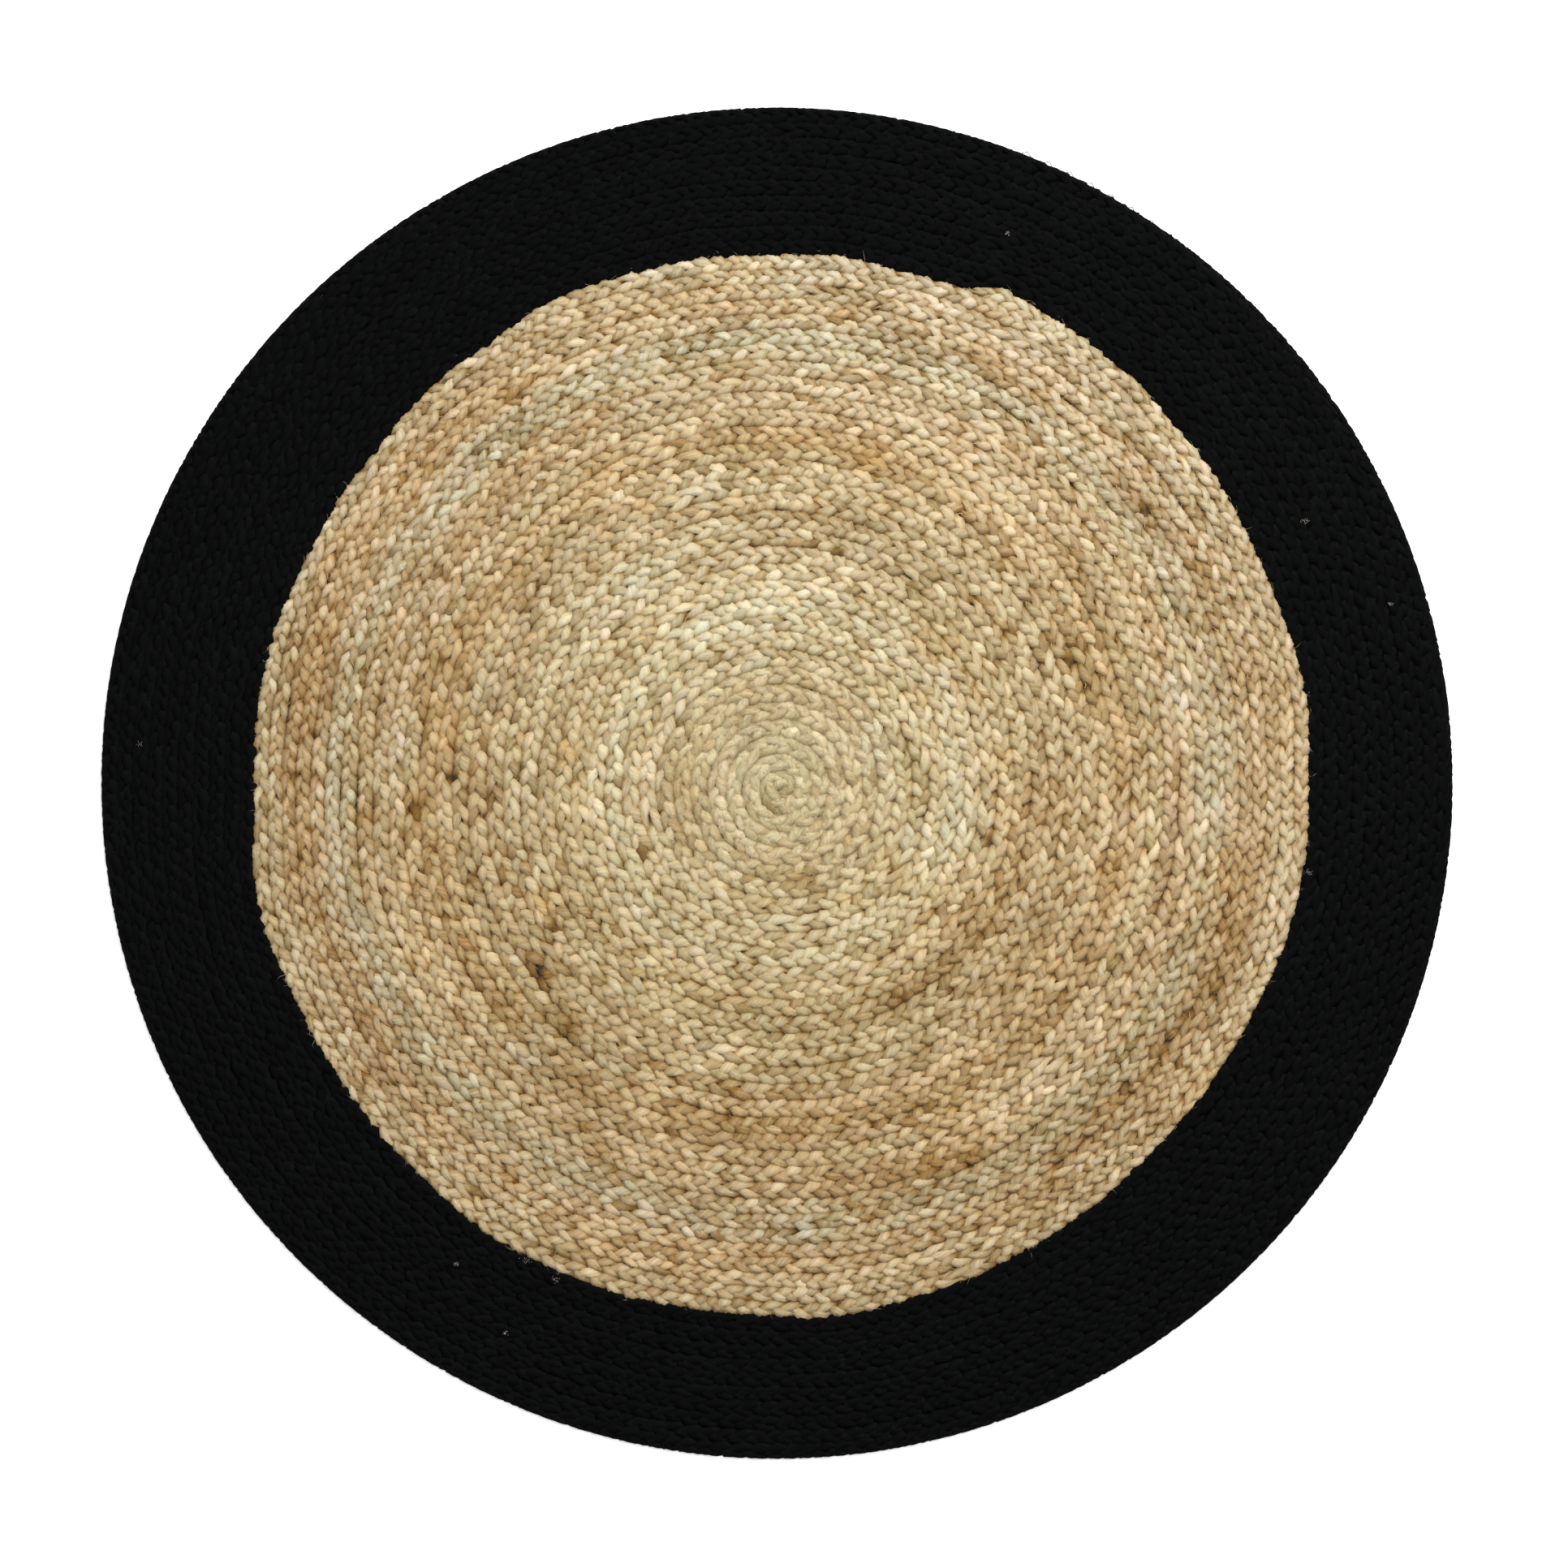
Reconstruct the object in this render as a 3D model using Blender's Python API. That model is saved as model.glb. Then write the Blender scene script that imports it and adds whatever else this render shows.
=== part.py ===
"""Round jute rug: a coil of natural three-strand braid inside a coil of black braid, lying flat.

Metres, +Z up. The origin is the middle of the underside and the pile faces up. Both braids are wound
counter-clockwise as seen from above, edge to edge, and each turn stands up as a rounded rib. One column
of points runs across all the rows every few degrees. The last column of a turn meets the first column
of the next one, which makes the rows a true spiral.
"""

import math

import bmesh
import bpy

COLLECTION = "round_jute_rug"

# Whole rug
RUG_RADIUS = 0.600        # outer edge, a full circle
RIB_HEIGHT = 0.010        # floor to the crest of a row
SEAM_HEIGHT = 0.0065      # floor to the valley where two rows are sewn together
PIECE_GAP = 0.0003        # between the natural and the black braid
COLUMNS = 72              # points on each turn
WELD_DISTANCE = 0.00001
SHARP_ANGLE = math.radians(30.0)
MILLIMETRE = 0.001

# Natural coil in the middle
CENTRE_TURNS = 32
CENTRE_RADIUS = 0.4688    # just past the tail, where the coil is narrowest
WIDE_TURNS = 20           # turns of slack, wide rows before the braid is pulled tighter
TIGHT_TURNS = 28          # turns after which the rows keep their tight width
TAIL_ANGLE = math.radians(70.0)   # where the tail has run out, from +X towards +Y
TAIL_TAPER = math.radians(10.0)   # the tail thins out over this arc
START_RISE = math.radians(120.0)  # the coil's first row swells to full height over this arc
START_SHIFT = (0.0041, -0.0051)   # the coil starts a little off the rug's middle

# Black coil round it
BORDER_TURNS = 10
BORDER_TAPER = math.radians(60.0)  # its tail thins out into the round edge over this arc

# How far the hand-laid edge of the natural coil leaves its spiral, in millimetres
EDGE_WANDER = (
    # angle_deg, offset_mm
    (0.0, -5.6),
    (10.0, -3.8),
    (25.0, -7.4),
    (40.0, -6.6),
    (50.0, -3.0),
    (60.0, 0.0),
    (70.0, 0.0),
    (85.0, 1.2),
    (112.0, 0.9),
    (126.0, -4.8),
    (145.0, -7.6),
    (162.0, -5.8),
    (179.0, -9.6),
    (195.0, 0.3),
    (206.0, -6.2),
    (225.0, -3.4),
    (241.0, 1.0),
    (258.0, -2.0),
    (270.0, -4.0),
    (276.0, -0.6),
    (290.0, -5.2),
    (314.0, -9.6),
    (332.0, -8.6),
    (350.0, -4.0),
)
WANDER_POWER = 3          # the wander dies out towards the middle with this power of the radius

JUTE = {"name": "natural_jute", "colour": (0.61, 0.43, 0.21, 1.0), "roughness": 0.85}
BLACK = {"name": "black_jute", "colour": (0.006, 0.006, 0.007, 1.0), "roughness": 0.8}

FULL_TURN = 2.0 * math.pi
TIGHT_ROW = (RUG_RADIUS - CENTRE_RADIUS - PIECE_GAP) / BORDER_TURNS
SLACK_TURNS = 0.5 * (WIDE_TURNS + TIGHT_TURNS)
WIDE_ROW = (CENTRE_RADIUS - TIGHT_ROW * (CENTRE_TURNS - SLACK_TURNS)) / SLACK_TURNS


def clear_scene():
    """Remove what a new file starts with."""
    for thing in list(bpy.data.objects):
        bpy.data.objects.remove(thing, do_unlink=True)


def edge_wander(angle):
    """Offset in metres of the natural coil's edge at an angle, eased from one table row to the next."""
    degrees = math.degrees(angle) % 360.0
    first = EDGE_WANDER[0]
    rows = EDGE_WANDER + ((first[0] + 360.0, first[1]),)
    for (start, low), (end, high) in zip(rows, rows[1:]):
        if degrees <= end:
            ease = 0.5 - 0.5 * math.cos(math.pi * (degrees - start) / (end - start))
            return MILLIMETRE * (low + (high - low) * ease)
    return MILLIMETRE * first[1]


def spiral_radius(turns):
    """Distance from the start of the natural coil after so many turns, before its edge wanders."""
    narrowing = min(max(turns - WIDE_TURNS, 0.0), TIGHT_TURNS - WIDE_TURNS)
    tight = max(turns - TIGHT_TURNS, 0.0)
    lost = (WIDE_ROW - TIGHT_ROW) * (0.5 * narrowing ** 2 / (TIGHT_TURNS - WIDE_TURNS) + tight)
    return WIDE_ROW * turns - lost


def coil_radius(turns, angle):
    """Radius of the natural coil's rows, with the wander of its edge carried part of the way in."""
    radius = spiral_radius(turns)
    return radius + edge_wander(angle) * (radius / CENTRE_RADIUS) ** WANDER_POWER


def tail_share(sweep, taper):
    """How much of its width a braid keeps at a sweep into its last turn: 1, falling to 0 at the end."""
    return min((FULL_TURN - sweep) / taper, 1.0)


def row_height(line, share=1.0):
    """Height of a line of points: a valley on the whole rows and a crest, or a share of it, between."""
    if line % 1.0 == 0.0:
        return SEAM_HEIGHT
    return SEAM_HEIGHT + (RIB_HEIGHT - SEAM_HEIGHT) * share


def centre_point(line, sweep):
    """Point of the natural coil: line counts its rows from the middle, sweep runs round from the tail."""
    angle = TAIL_ANGLE + sweep
    share = tail_share(sweep, TAIL_TAPER) if line > CENTRE_TURNS - 1 else 1.0
    turns = min(line, CENTRE_TURNS - 1) + max(line - CENTRE_TURNS + 1, 0.0) * share
    if line < 1.0:
        share = min(sweep / START_RISE, 1.0)
    radius = coil_radius(turns + sweep / FULL_TURN, angle)
    shift = max(1.0 - radius / CENTRE_RADIUS, 0.0)
    x = radius * math.cos(angle) + START_SHIFT[0] * shift
    y = radius * math.sin(angle) + START_SHIFT[1] * shift
    return x, y, row_height(line, share)


def border_point(line, sweep):
    """Point of the black coil: line 0 is the inner edge of its first full row, -1 that of its start."""
    angle = TAIL_ANGLE + sweep
    inner = coil_radius(CENTRE_TURNS + sweep / FULL_TURN, angle) + PIECE_GAP
    if line < 0.0:
        share = 1.0 - tail_share(sweep, TAIL_TAPER)
        start = CENTRE_TURNS - share + sweep / FULL_TURN
        edge = coil_radius(start, angle) + PIECE_GAP
        radius = inner + (edge - inner) * -line
    else:
        share = tail_share(sweep, BORDER_TAPER)
        row = (RUG_RADIUS - inner) / (BORDER_TURNS - 1 + share)
        last = max(line - BORDER_TURNS + 1, 0.0)
        radius = inner + row * (min(line, BORDER_TURNS - 1) + last * share)
        share = share if last > 0.0 else 1.0
    return radius * math.cos(angle), radius * math.sin(angle), row_height(line, share)


def wound_sheet(first_line, last_line, point):
    """Bend a flat grid into the ribbed top of a coil, with two strips of faces to each row.

    The grid's own X counts half rows, and its Y counts columns.
    """
    strips = 2 * (last_line - first_line)
    bpy.ops.mesh.primitive_grid_add(x_subdivisions=strips, y_subdivisions=COLUMNS, size=1.0)
    grid = bpy.context.object
    sheet = bmesh.new()
    sheet.from_mesh(grid.data)
    for vert in sheet.verts:
        line = first_line + 0.5 * round((vert.co.x + 0.5) * strips)
        sweep = FULL_TURN * round((vert.co.y + 0.5) * COLUMNS) / COLUMNS
        vert.co = point(line, sweep)
    bmesh.ops.remove_doubles(sheet, verts=sheet.verts[:], dist=WELD_DISTANCE)
    bmesh.ops.dissolve_degenerate(sheet, edges=sheet.edges[:], dist=WELD_DISTANCE)
    return grid, sheet


def open_loops(sheet):
    """The sheet's open edges, one list for each closed loop."""
    left = [edge for edge in sheet.edges if edge.is_boundary]
    loops = []
    while left:
        loop = [left.pop(0)]
        for edge in loop:
            touching = [other for other in left if set(other.verts) & set(edge.verts)]
            left = [other for other in left if other not in touching]
            loop.extend(touching)
        loops.append(loop)
    return loops


def drop_skirt(sheet, edges):
    """Extrude a loop of edges straight down to the floor and return the loop's new edges."""
    made = bmesh.ops.extrude_edge_only(sheet, edges=edges)["geom"]
    for vert in (item for item in made if isinstance(item, bmesh.types.BMVert)):
        vert.co.z = 0.0
    return [item for item in made if isinstance(item, bmesh.types.BMEdge) and item.is_boundary]


def close_start(sheet):
    """Close the small level hole inside the first turn with one face."""
    hole = min(open_loops(sheet), key=lambda loop: sum(edge.calc_length() for edge in loop))
    bmesh.ops.contextual_create(sheet, geom=hole)


def finish_solid(grid, sheet, name, finish, collection):
    """Write the closed sheet back to its object, name it, dress it and file it."""
    bmesh.ops.recalc_face_normals(sheet, faces=sheet.faces[:])
    sheet.to_mesh(grid.data)
    sheet.free()
    grid.data.shade_smooth()
    grid.data.set_sharp_from_angle(angle=SHARP_ANGLE)
    grid.name = name
    grid.data.name = name
    grid.data.materials.append(braid_material(**finish))
    for home in list(grid.users_collection):
        home.objects.unlink(grid)
    collection.objects.link(grid)


def braid_material(name, colour, roughness):
    """Plain dull fibre of one colour."""
    material = bpy.data.materials.new(name)
    material.use_nodes = True
    shader = material.node_tree.nodes["Principled BSDF"]
    shader.inputs["Base Color"].default_value = colour
    shader.inputs["Roughness"].default_value = roughness
    shader.inputs["Metallic"].default_value = 0.0
    return material


def build_centre(collection):
    """The natural braid: a ribbed disc with a stepped, wandering edge and a flat underside."""
    grid, sheet = wound_sheet(0, CENTRE_TURNS, centre_point)
    close_start(sheet)
    floor_edges = drop_skirt(sheet, open_loops(sheet)[0])
    bmesh.ops.contextual_create(sheet, geom=floor_edges)
    finish_solid(grid, sheet, "centre_braid", JUTE, collection)


def build_border(collection):
    """The black braid: a ribbed ring that fits round the natural one, with a flat underside."""
    grid, sheet = wound_sheet(-1, BORDER_TURNS, border_point)
    floor_edges = [edge for loop in open_loops(sheet) for edge in drop_skirt(sheet, loop)]
    bmesh.ops.bridge_loops(sheet, edges=floor_edges)
    finish_solid(grid, sheet, "border_braid", BLACK, collection)


def main():
    """Build both braids in a collection named for the rug."""
    clear_scene()
    collection = bpy.data.collections.new(COLLECTION)
    bpy.context.scene.collection.children.link(collection)
    build_centre(collection)
    build_border(collection)


main()
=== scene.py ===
"""Round jute rug, dressed: three plaited strands of yarn for each braid, coiled and sewn flat.

The natural braid is wound from the middle outwards and the black one goes on round it. Metres, +Z up,
with the origin in the middle of the underside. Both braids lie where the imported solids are, and the
solids' own numbers are repeated here as the fields of the coils.
"""

from __future__ import annotations

import logging
import math
from dataclasses import dataclass, field
from enum import Enum
from typing import Callable, Sequence

import bpy
import numpy as np
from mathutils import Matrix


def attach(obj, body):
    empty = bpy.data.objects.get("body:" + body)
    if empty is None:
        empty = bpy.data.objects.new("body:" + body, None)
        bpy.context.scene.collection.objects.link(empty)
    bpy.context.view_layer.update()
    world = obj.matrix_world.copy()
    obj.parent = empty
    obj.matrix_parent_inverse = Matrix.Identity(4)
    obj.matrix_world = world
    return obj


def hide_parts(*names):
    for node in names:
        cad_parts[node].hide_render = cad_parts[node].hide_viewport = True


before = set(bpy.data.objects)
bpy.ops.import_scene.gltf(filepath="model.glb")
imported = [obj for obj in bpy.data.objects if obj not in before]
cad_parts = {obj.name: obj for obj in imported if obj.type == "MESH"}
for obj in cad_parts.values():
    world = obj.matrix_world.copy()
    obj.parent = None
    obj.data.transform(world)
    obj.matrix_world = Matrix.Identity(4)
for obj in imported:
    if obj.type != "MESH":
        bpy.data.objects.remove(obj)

LOG = logging.getLogger("rug")
BAKE_MAP = "OFBake"
FULL_TURN = 2.0 * math.pi
MILLIMETRE = 0.001
UP = np.array((0.0, 0.0, 1.0))
NEAR_MIDDLE = 0.001         # where something is divided by a radius, that is never taken as less
TONE_STEPS = 100.0          # steps of lightness to a stored tone of 1
RUG_EDGE = 0.600            # radius of the round outer edge
NATURAL_EDGE = 0.4688       # mean radius of the natural coil
SEAM_GAP = 0.0003           # between the two coils
BLACK_TURNS = 10
MATTED_EDGE = 0.125         # radius at which the matted middle has run out
MATTED_FADE = 0.085         # width over which it runs out
END_FACES = 0.995           # how high up on a piece's bake map its end faces lie
END_SIZE = 0.004            # how far a strand's end face reaches from its middle there

Colour = tuple[float, float, float]


def from_srgb(red: int, green: int, blue: int) -> Colour:
    """Turn a colour given in 0 to 255 into the linear numbers that a shader takes.

    Args:
        red: Red as seen on a screen.
        green: Green as seen on a screen.
        blue: Blue as seen on a screen.

    Returns:
        The linear colour.
    """
    shares = (channel / 255.0 for channel in (red, green, blue))
    return tuple(s / 12.92 if s <= 0.04045 else ((s + 0.055) / 1.055) ** 2.4 for s in shares)


# ---------------------------------------------------------------------------------------------------
# Shader maths


class Value:
    """One number that varies over a surface, as a socket that Python's operators work on."""

    def __init__(self, nodes: "Nodes", socket: bpy.types.NodeSocket) -> None:
        """Keep the socket and the tree that it belongs to."""
        self.nodes = nodes
        self.socket = socket

    def _math(self, operation: str, *others: object, first: bool = True) -> "Value":
        """Add a Math node.

        Args:
            operation: Blender's name of the operation.
            others: The other operands, values or numbers.
            first: Whether this value is the first operand or the second.

        Returns:
            The node's result.
        """
        operands = (self, *others) if first else (*others, self)
        node = self.nodes.node("ShaderNodeMath", {"operation": operation}, dict(enumerate(operands)))
        return Value(self.nodes, node.outputs[0])

    def __add__(self, other: object) -> "Value":
        """Sum."""
        return self._math("ADD", other)

    __radd__ = __add__

    def __sub__(self, other: object) -> "Value":
        """Difference."""
        return self._math("SUBTRACT", other)

    def __rsub__(self, other: object) -> "Value":
        """Difference from a number."""
        return self._math("SUBTRACT", other, first=False)

    def __mul__(self, other: object) -> "Value":
        """Product."""
        return self._math("MULTIPLY", other)

    __rmul__ = __mul__

    def eased(self, low: float, high: float) -> "Value":
        """Rise smoothly from 0 at low to 1 at high.

        Args:
            low: Where the rise starts.
            high: Where it ends, which may be below low.

        Returns:
            The eased value, held between 0 and 1.
        """
        settings = {"interpolation_type": "SMOOTHSTEP", "clamp": True}
        inputs = {"Value": self, "From Min": low, "From Max": high}
        return Value(self.nodes, self.nodes.node("ShaderNodeMapRange", settings, inputs).outputs[0])


class Nodes:
    """The node tree of one new material, with the Principled shader at its end."""

    def __init__(self, name: str, roughness: float, specular: float, sheen: float = 0.0) -> None:
        """Make the material and set what is the same all over it.

        Args:
            name: The material's name.
            roughness: How dull it is.
            specular: Strength of its plain reflection.
            sheen: Strength of the soft glow of loose fibres.
        """
        self.material = bpy.data.materials.new(name)
        self.material.use_nodes = True
        self.tree = self.material.node_tree
        self.shader = self.tree.nodes["Principled BSDF"]
        uniform = {"Roughness": roughness, "Specular IOR Level": specular, "Sheen Weight": sheen}
        for socket, number in uniform.items():
            self.shader.inputs[socket].default_value = number

    def node(self, kind: str, settings: dict, inputs: dict) -> bpy.types.Node:
        """Add a node.

        Args:
            kind: Blender's type name of the node.
            settings: Its properties, which are set first.
            inputs: Values, sockets or numbers for its inputs, by name or place.

        Returns:
            The new node.
        """
        made = self.tree.nodes.new(kind)
        for name, setting in settings.items():
            setattr(made, name, setting)
        for key, given in inputs.items():
            if isinstance(given, Value):
                given = given.socket
            if isinstance(given, bpy.types.NodeSocket):
                self.tree.links.new(given, made.inputs[key])
            else:
                made.inputs[key].default_value = given
        return made

    def attribute(self, name: str) -> bpy.types.NodeSocket:
        """Read a vector that the mesh stores at its points."""
        return self.node("ShaderNodeAttribute", {"attribute_name": name}, {}).outputs["Vector"]

    def number(self, name: str) -> Value:
        """Read a number that the mesh stores at its points."""
        node = self.node("ShaderNodeAttribute", {"attribute_name": name}, {})
        return Value(self, node.outputs["Fac"])

    def stretched(self, vector: bpy.types.NodeSocket, scale: Sequence[float]) -> bpy.types.NodeSocket:
        """Multiply a vector by one number for each axis."""
        settings = {"operation": "MULTIPLY"}
        return self.node("ShaderNodeVectorMath", settings, {0: vector, 1: tuple(scale)}).outputs[0]

    def noise(self, vector: bpy.types.NodeSocket, scale: float, detail: float = 0.0) -> Value:
        """Soft random pattern, mostly between 0.25 and 0.75.

        Args:
            vector: Where the pattern is read.
            scale: How many blotches to each unit of the vector.
            detail: How many finer layers are added.

        Returns:
            The pattern.
        """
        inputs = {"Vector": vector, "Scale": scale, "Detail": detail}
        return Value(self, self.node("ShaderNodeTexNoise", {}, inputs).outputs[0])

    def mix(self, share: Value, low: object, high: object) -> bpy.types.NodeSocket:
        """Blend two colours.

        Args:
            share: How much of the second colour is taken.
            low: The first colour, or a socket that gives it.
            high: The second colour, or a socket that gives it.

        Returns:
            The blended colour.
        """
        node = self.node("ShaderNodeMix", {"data_type": "RGBA"}, {"Factor": share})
        colours = [socket for socket in node.inputs if socket.type == "RGBA"]
        for socket, given in zip(colours, (low, high)):
            if isinstance(given, bpy.types.NodeSocket):
                self.tree.links.new(given, socket)
            else:
                socket.default_value = (*given, 1.0)
        return next(socket for socket in node.outputs if socket.type == "RGBA")

    def ramp(self, place: Value, stops: Sequence[tuple[float, Colour]]) -> bpy.types.NodeSocket:
        """Read a colour off a ramp.

        Args:
            place: Where on the ramp, from 0 to 1.
            stops: Place and colour of each stop, the first at 0 and the last at 1.

        Returns:
            The colour.
        """
        node = self.node("ShaderNodeValToRGB", {}, {0: place})
        elements = node.color_ramp.elements
        for at, _ in stops[1:-1]:
            elements.new(at)
        for element, (_, colour) in zip(elements, stops):
            element.color = (*colour, 1.0)
        return node.outputs[0]

    def tinted(self, colour: bpy.types.NodeSocket, tint: Colour, share: Value) -> bpy.types.NodeSocket:
        """Raise or lower each channel of a colour.

        Args:
            colour: The colour.
            tint: How much each channel rises where share is 1.
            share: How much of the tint is taken, which may be negative.

        Returns:
            The tinted colour.
        """
        change = self.node("ShaderNodeVectorMath", {"operation": "SCALE"}, {0: tint, "Scale": share})
        settings = {"operation": "MULTIPLY_ADD"}
        inputs = {0: change.outputs[0], 1: colour, 2: colour}
        return self.node("ShaderNodeVectorMath", settings, inputs).outputs[0]

    def finish(
        self, colour: bpy.types.NodeSocket, height: Value | None = None, depth: float = 0.0
    ) -> bpy.types.Material:
        """Link what varies to the shader.

        Args:
            colour: The base colour.
            height: Fine relief from 0 to 1.
            depth: Size of that relief in metres.

        Returns:
            The finished material.
        """
        self.tree.links.new(colour, self.shader.inputs["Base Color"])
        if height is not None:
            inputs = {"Height": height, "Distance": depth, "Strength": 1.0}
            bump = self.node("ShaderNodeBump", {}, inputs)
            self.tree.links.new(bump.outputs[0], self.shader.inputs["Normal"])
        return self.material


# ---------------------------------------------------------------------------------------------------
# Finishes


@dataclass(frozen=True)
class JuteFinish:
    """Undyed jute yarn, from brown through tan and straw to pale cream, with painted shade down between the
    stitches.
    """

    name: str = "natural_jute_yarn"
    stops: tuple[tuple[float, Colour], ...] = (
        # lightness, colour
        (30.0, from_srgb(52, 37, 21)),
        (82.0, from_srgb(111, 82, 36)),
        (109.0, from_srgb(135, 109, 64)),
        (137.0, from_srgb(159, 137, 98)),
        (164.0, from_srgb(183, 164, 127)),
        (189.0, from_srgb(203, 186, 151)),
        (223.0, from_srgb(226, 210, 178)),
    )
    middle: float = 171.0       # lightness of plain yarn
    fibre_spread: float = 40.0
    handful_spread: float = 60.0
    handful_scale: tuple[float, float, float] = (0.28, 0.28, 0.4)   # against the pattern of single fibres
    painted_shade_loss: float = 50.0     # painted shade: how much darker the yarn is painted down between the stitches
    warm: Colour = (0.03, -0.008, -0.07)
    rose: Colour = (0.018, -0.026, 0.010)
    # painted shade: the warmer, deeper hue given to the yarn down between the stitches
    painted_shade_tint: Colour = (0.04, -0.06, -0.28)
    roughness: float = 0.75
    specular: float = 0.2
    sheen: float = 0.1
    relief: float = 0.0005

    def material(self) -> bpy.types.Material:
        """Mottle the yarn by its stored tone and hue, with fibres on top, and darken it with painted shade
        down between the stitches.
        """
        nodes = Nodes(self.name, self.roughness, self.specular, self.sheen)
        # painted shade: 1 down between the stitches, 0 on the crests
        fibre, painted_shade = nodes.attribute("fibre"), 1.0 - nodes.number("crest")
        streak = nodes.noise(fibre, scale=1.0, detail=2.0)
        handful = nodes.noise(nodes.stretched(fibre, self.handful_scale), scale=1.0, detail=1.0)
        lightness = (streak - 0.5) * self.fibre_spread + (handful - 0.5) * self.handful_spread
        # painted shade darkens the yarn down between the stitches
        lightness = lightness + nodes.number("tone") * TONE_STEPS + self.middle - painted_shade * self.painted_shade_loss
        low, high = self.stops[0][0], self.stops[-1][0]
        stops = tuple(((at - low) / (high - low), colour) for at, colour in self.stops)
        colour = nodes.ramp((lightness - low) * (1.0 / (high - low)), stops)
        colour = nodes.tinted(colour, self.warm, nodes.number("warm"))
        colour = nodes.tinted(colour, self.rose, nodes.number("rose"))
        # painted shade also turns the yarn warmer and deeper down between the stitches
        colour = nodes.tinted(colour, self.painted_shade_tint, painted_shade)
        return nodes.finish(colour, streak, self.relief)


@dataclass(frozen=True)
class BlackFinish:
    """Jute yarn dyed black, so dark that only its fibres catch any light."""

    name: str = "black_jute_yarn"
    dark: Colour = (0.0024, 0.0026, 0.0025)
    light: Colour = (0.0047, 0.0051, 0.0049)
    tone_share: float = 0.6
    fibre_share: float = 0.5
    painted_gap_share: float = 1.2     # of the paler colour painted down between the stitches: painted light in their shade
    full: float = 1.25          # sum of these shares at which the light colour is reached
    roughness: float = 0.75
    specular: float = 0.02
    relief: float = 0.0004

    def material(self) -> bpy.types.Material:
        """Vary the dye a little along the yarn and from fibre to fibre, and paint it paler down between the
        stitches as painted light.
        """
        nodes = Nodes(self.name, self.roughness, self.specular)
        streak = nodes.noise(nodes.attribute("fibre"), scale=1.0, detail=2.0)
        # painted light: paler down between the stitches, where shade falls
        painted_gap_tone = 1.0 - nodes.number("crest")
        share = nodes.number("tone") * self.tone_share + streak * self.fibre_share + painted_gap_tone * self.painted_gap_share
        colour = nodes.mix(share.eased(0.0, self.full), self.dark, self.light)
        return nodes.finish(colour, streak, self.relief)


@dataclass(frozen=True)
class FibreFinish:
    """Single loose fibres that stand out of the yarn."""

    name: str
    dull: Colour
    bright: Colour
    specular: float = 0.1
    roughness: float = 0.75

    def material(self) -> bpy.types.Material:
        """Give each fibre its own tone."""
        nodes = Nodes(self.name, self.roughness, self.specular)
        colour = nodes.mix(nodes.number("tone"), self.dull, self.bright)
        return nodes.finish(colour)


PALE_FIBRE = FibreFinish("pale_jute_fibre", from_srgb(176, 152, 108), from_srgb(222, 206, 168))
LINT_FIBRE = FibreFinish("pale_lint", from_srgb(196, 188, 170), from_srgb(240, 236, 226))
BLACK_FIBRE = FibreFinish("black_jute_fibre", (0.0028, 0.0030, 0.0029), (0.0062, 0.0066, 0.0064), 0.02)


@dataclass(frozen=True)
class FloorFinish:
    """Plain pale floor."""

    name: str = "pale_floor"
    colour: Colour = (0.96, 0.96, 0.96)
    grain: Colour = (0.94, 0.94, 0.94)
    grain_scale: float = 3.0
    roughness: float = 0.9
    # painted shade: brown under the rug, so that the floor seen through gaps between the strands looks shaded
    painted_gap_tone: Colour = (0.30, 0.22, 0.13)
    glow: float = 0.3           # lights up the thin shadow along the rug's edge
    covered: tuple[float, float] = (0.594, RUG_EDGE)    # radii where the brown painted shade under the rug ends and the glow is full

    def material(self) -> bpy.types.Material:
        """Leave the floor nearly even, lit from below like a light table, and painted brown under the rug as
        painted shade.
        """
        nodes = Nodes(self.name, self.roughness, specular=0.0)
        place = nodes.node("ShaderNodeTexCoord", {}, {}).outputs["Object"]
        reach = nodes.node("ShaderNodeVectorMath", {"operation": "LENGTH"}, {0: place}).outputs["Value"]
        bare = Value(nodes, reach).eased(*self.covered)
        light = nodes.mix(bare, (0.0, 0.0, 0.0), (1.0, 1.0, 1.0))
        nodes.tree.links.new(light, nodes.shader.inputs["Emission Color"])
        nodes.shader.inputs["Emission Strength"].default_value = self.glow
        clean = nodes.mix(nodes.noise(place, self.grain_scale), self.colour, self.grain)
        # painted shade under the rug, the nearly even floor round it
        return nodes.finish(nodes.mix(bare, self.painted_gap_tone, clean))


# ---------------------------------------------------------------------------------------------------
# Random changes and meshes


def smooth_random(places: np.ndarray, spacing: float, seed: int) -> np.ndarray:
    """Random number that changes smoothly along a length.

    Args:
        places: Where it is wanted, in metres along the length.
        spacing: How far apart its independent values are.
        seed: Which random series it is.

    Returns:
        Values with a mean of 0 and a spread of about 1.
    """
    cells = (places - places.min()) / spacing
    first = np.floor(cells).astype(int)
    series = np.random.default_rng(seed).uniform(-1.7, 1.7, first.max() + 2)
    part = cells - first
    ease = part * part * (3.0 - 2.0 * part)
    return series[first] * (1.0 - ease) + series[first + 1] * ease


@dataclass(frozen=True)
class Sway:
    """A random change that comes and goes smoothly along a strand."""

    size: float
    spacing: float          # metres from one of its independent values to the next
    series: int             # which random series it is, counted from a seed

    def along(self, places: np.ndarray, seed: int) -> np.ndarray:
        """The change at places along the strand."""
        return self.size * smooth_random(places, self.spacing, seed + self.series)


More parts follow.
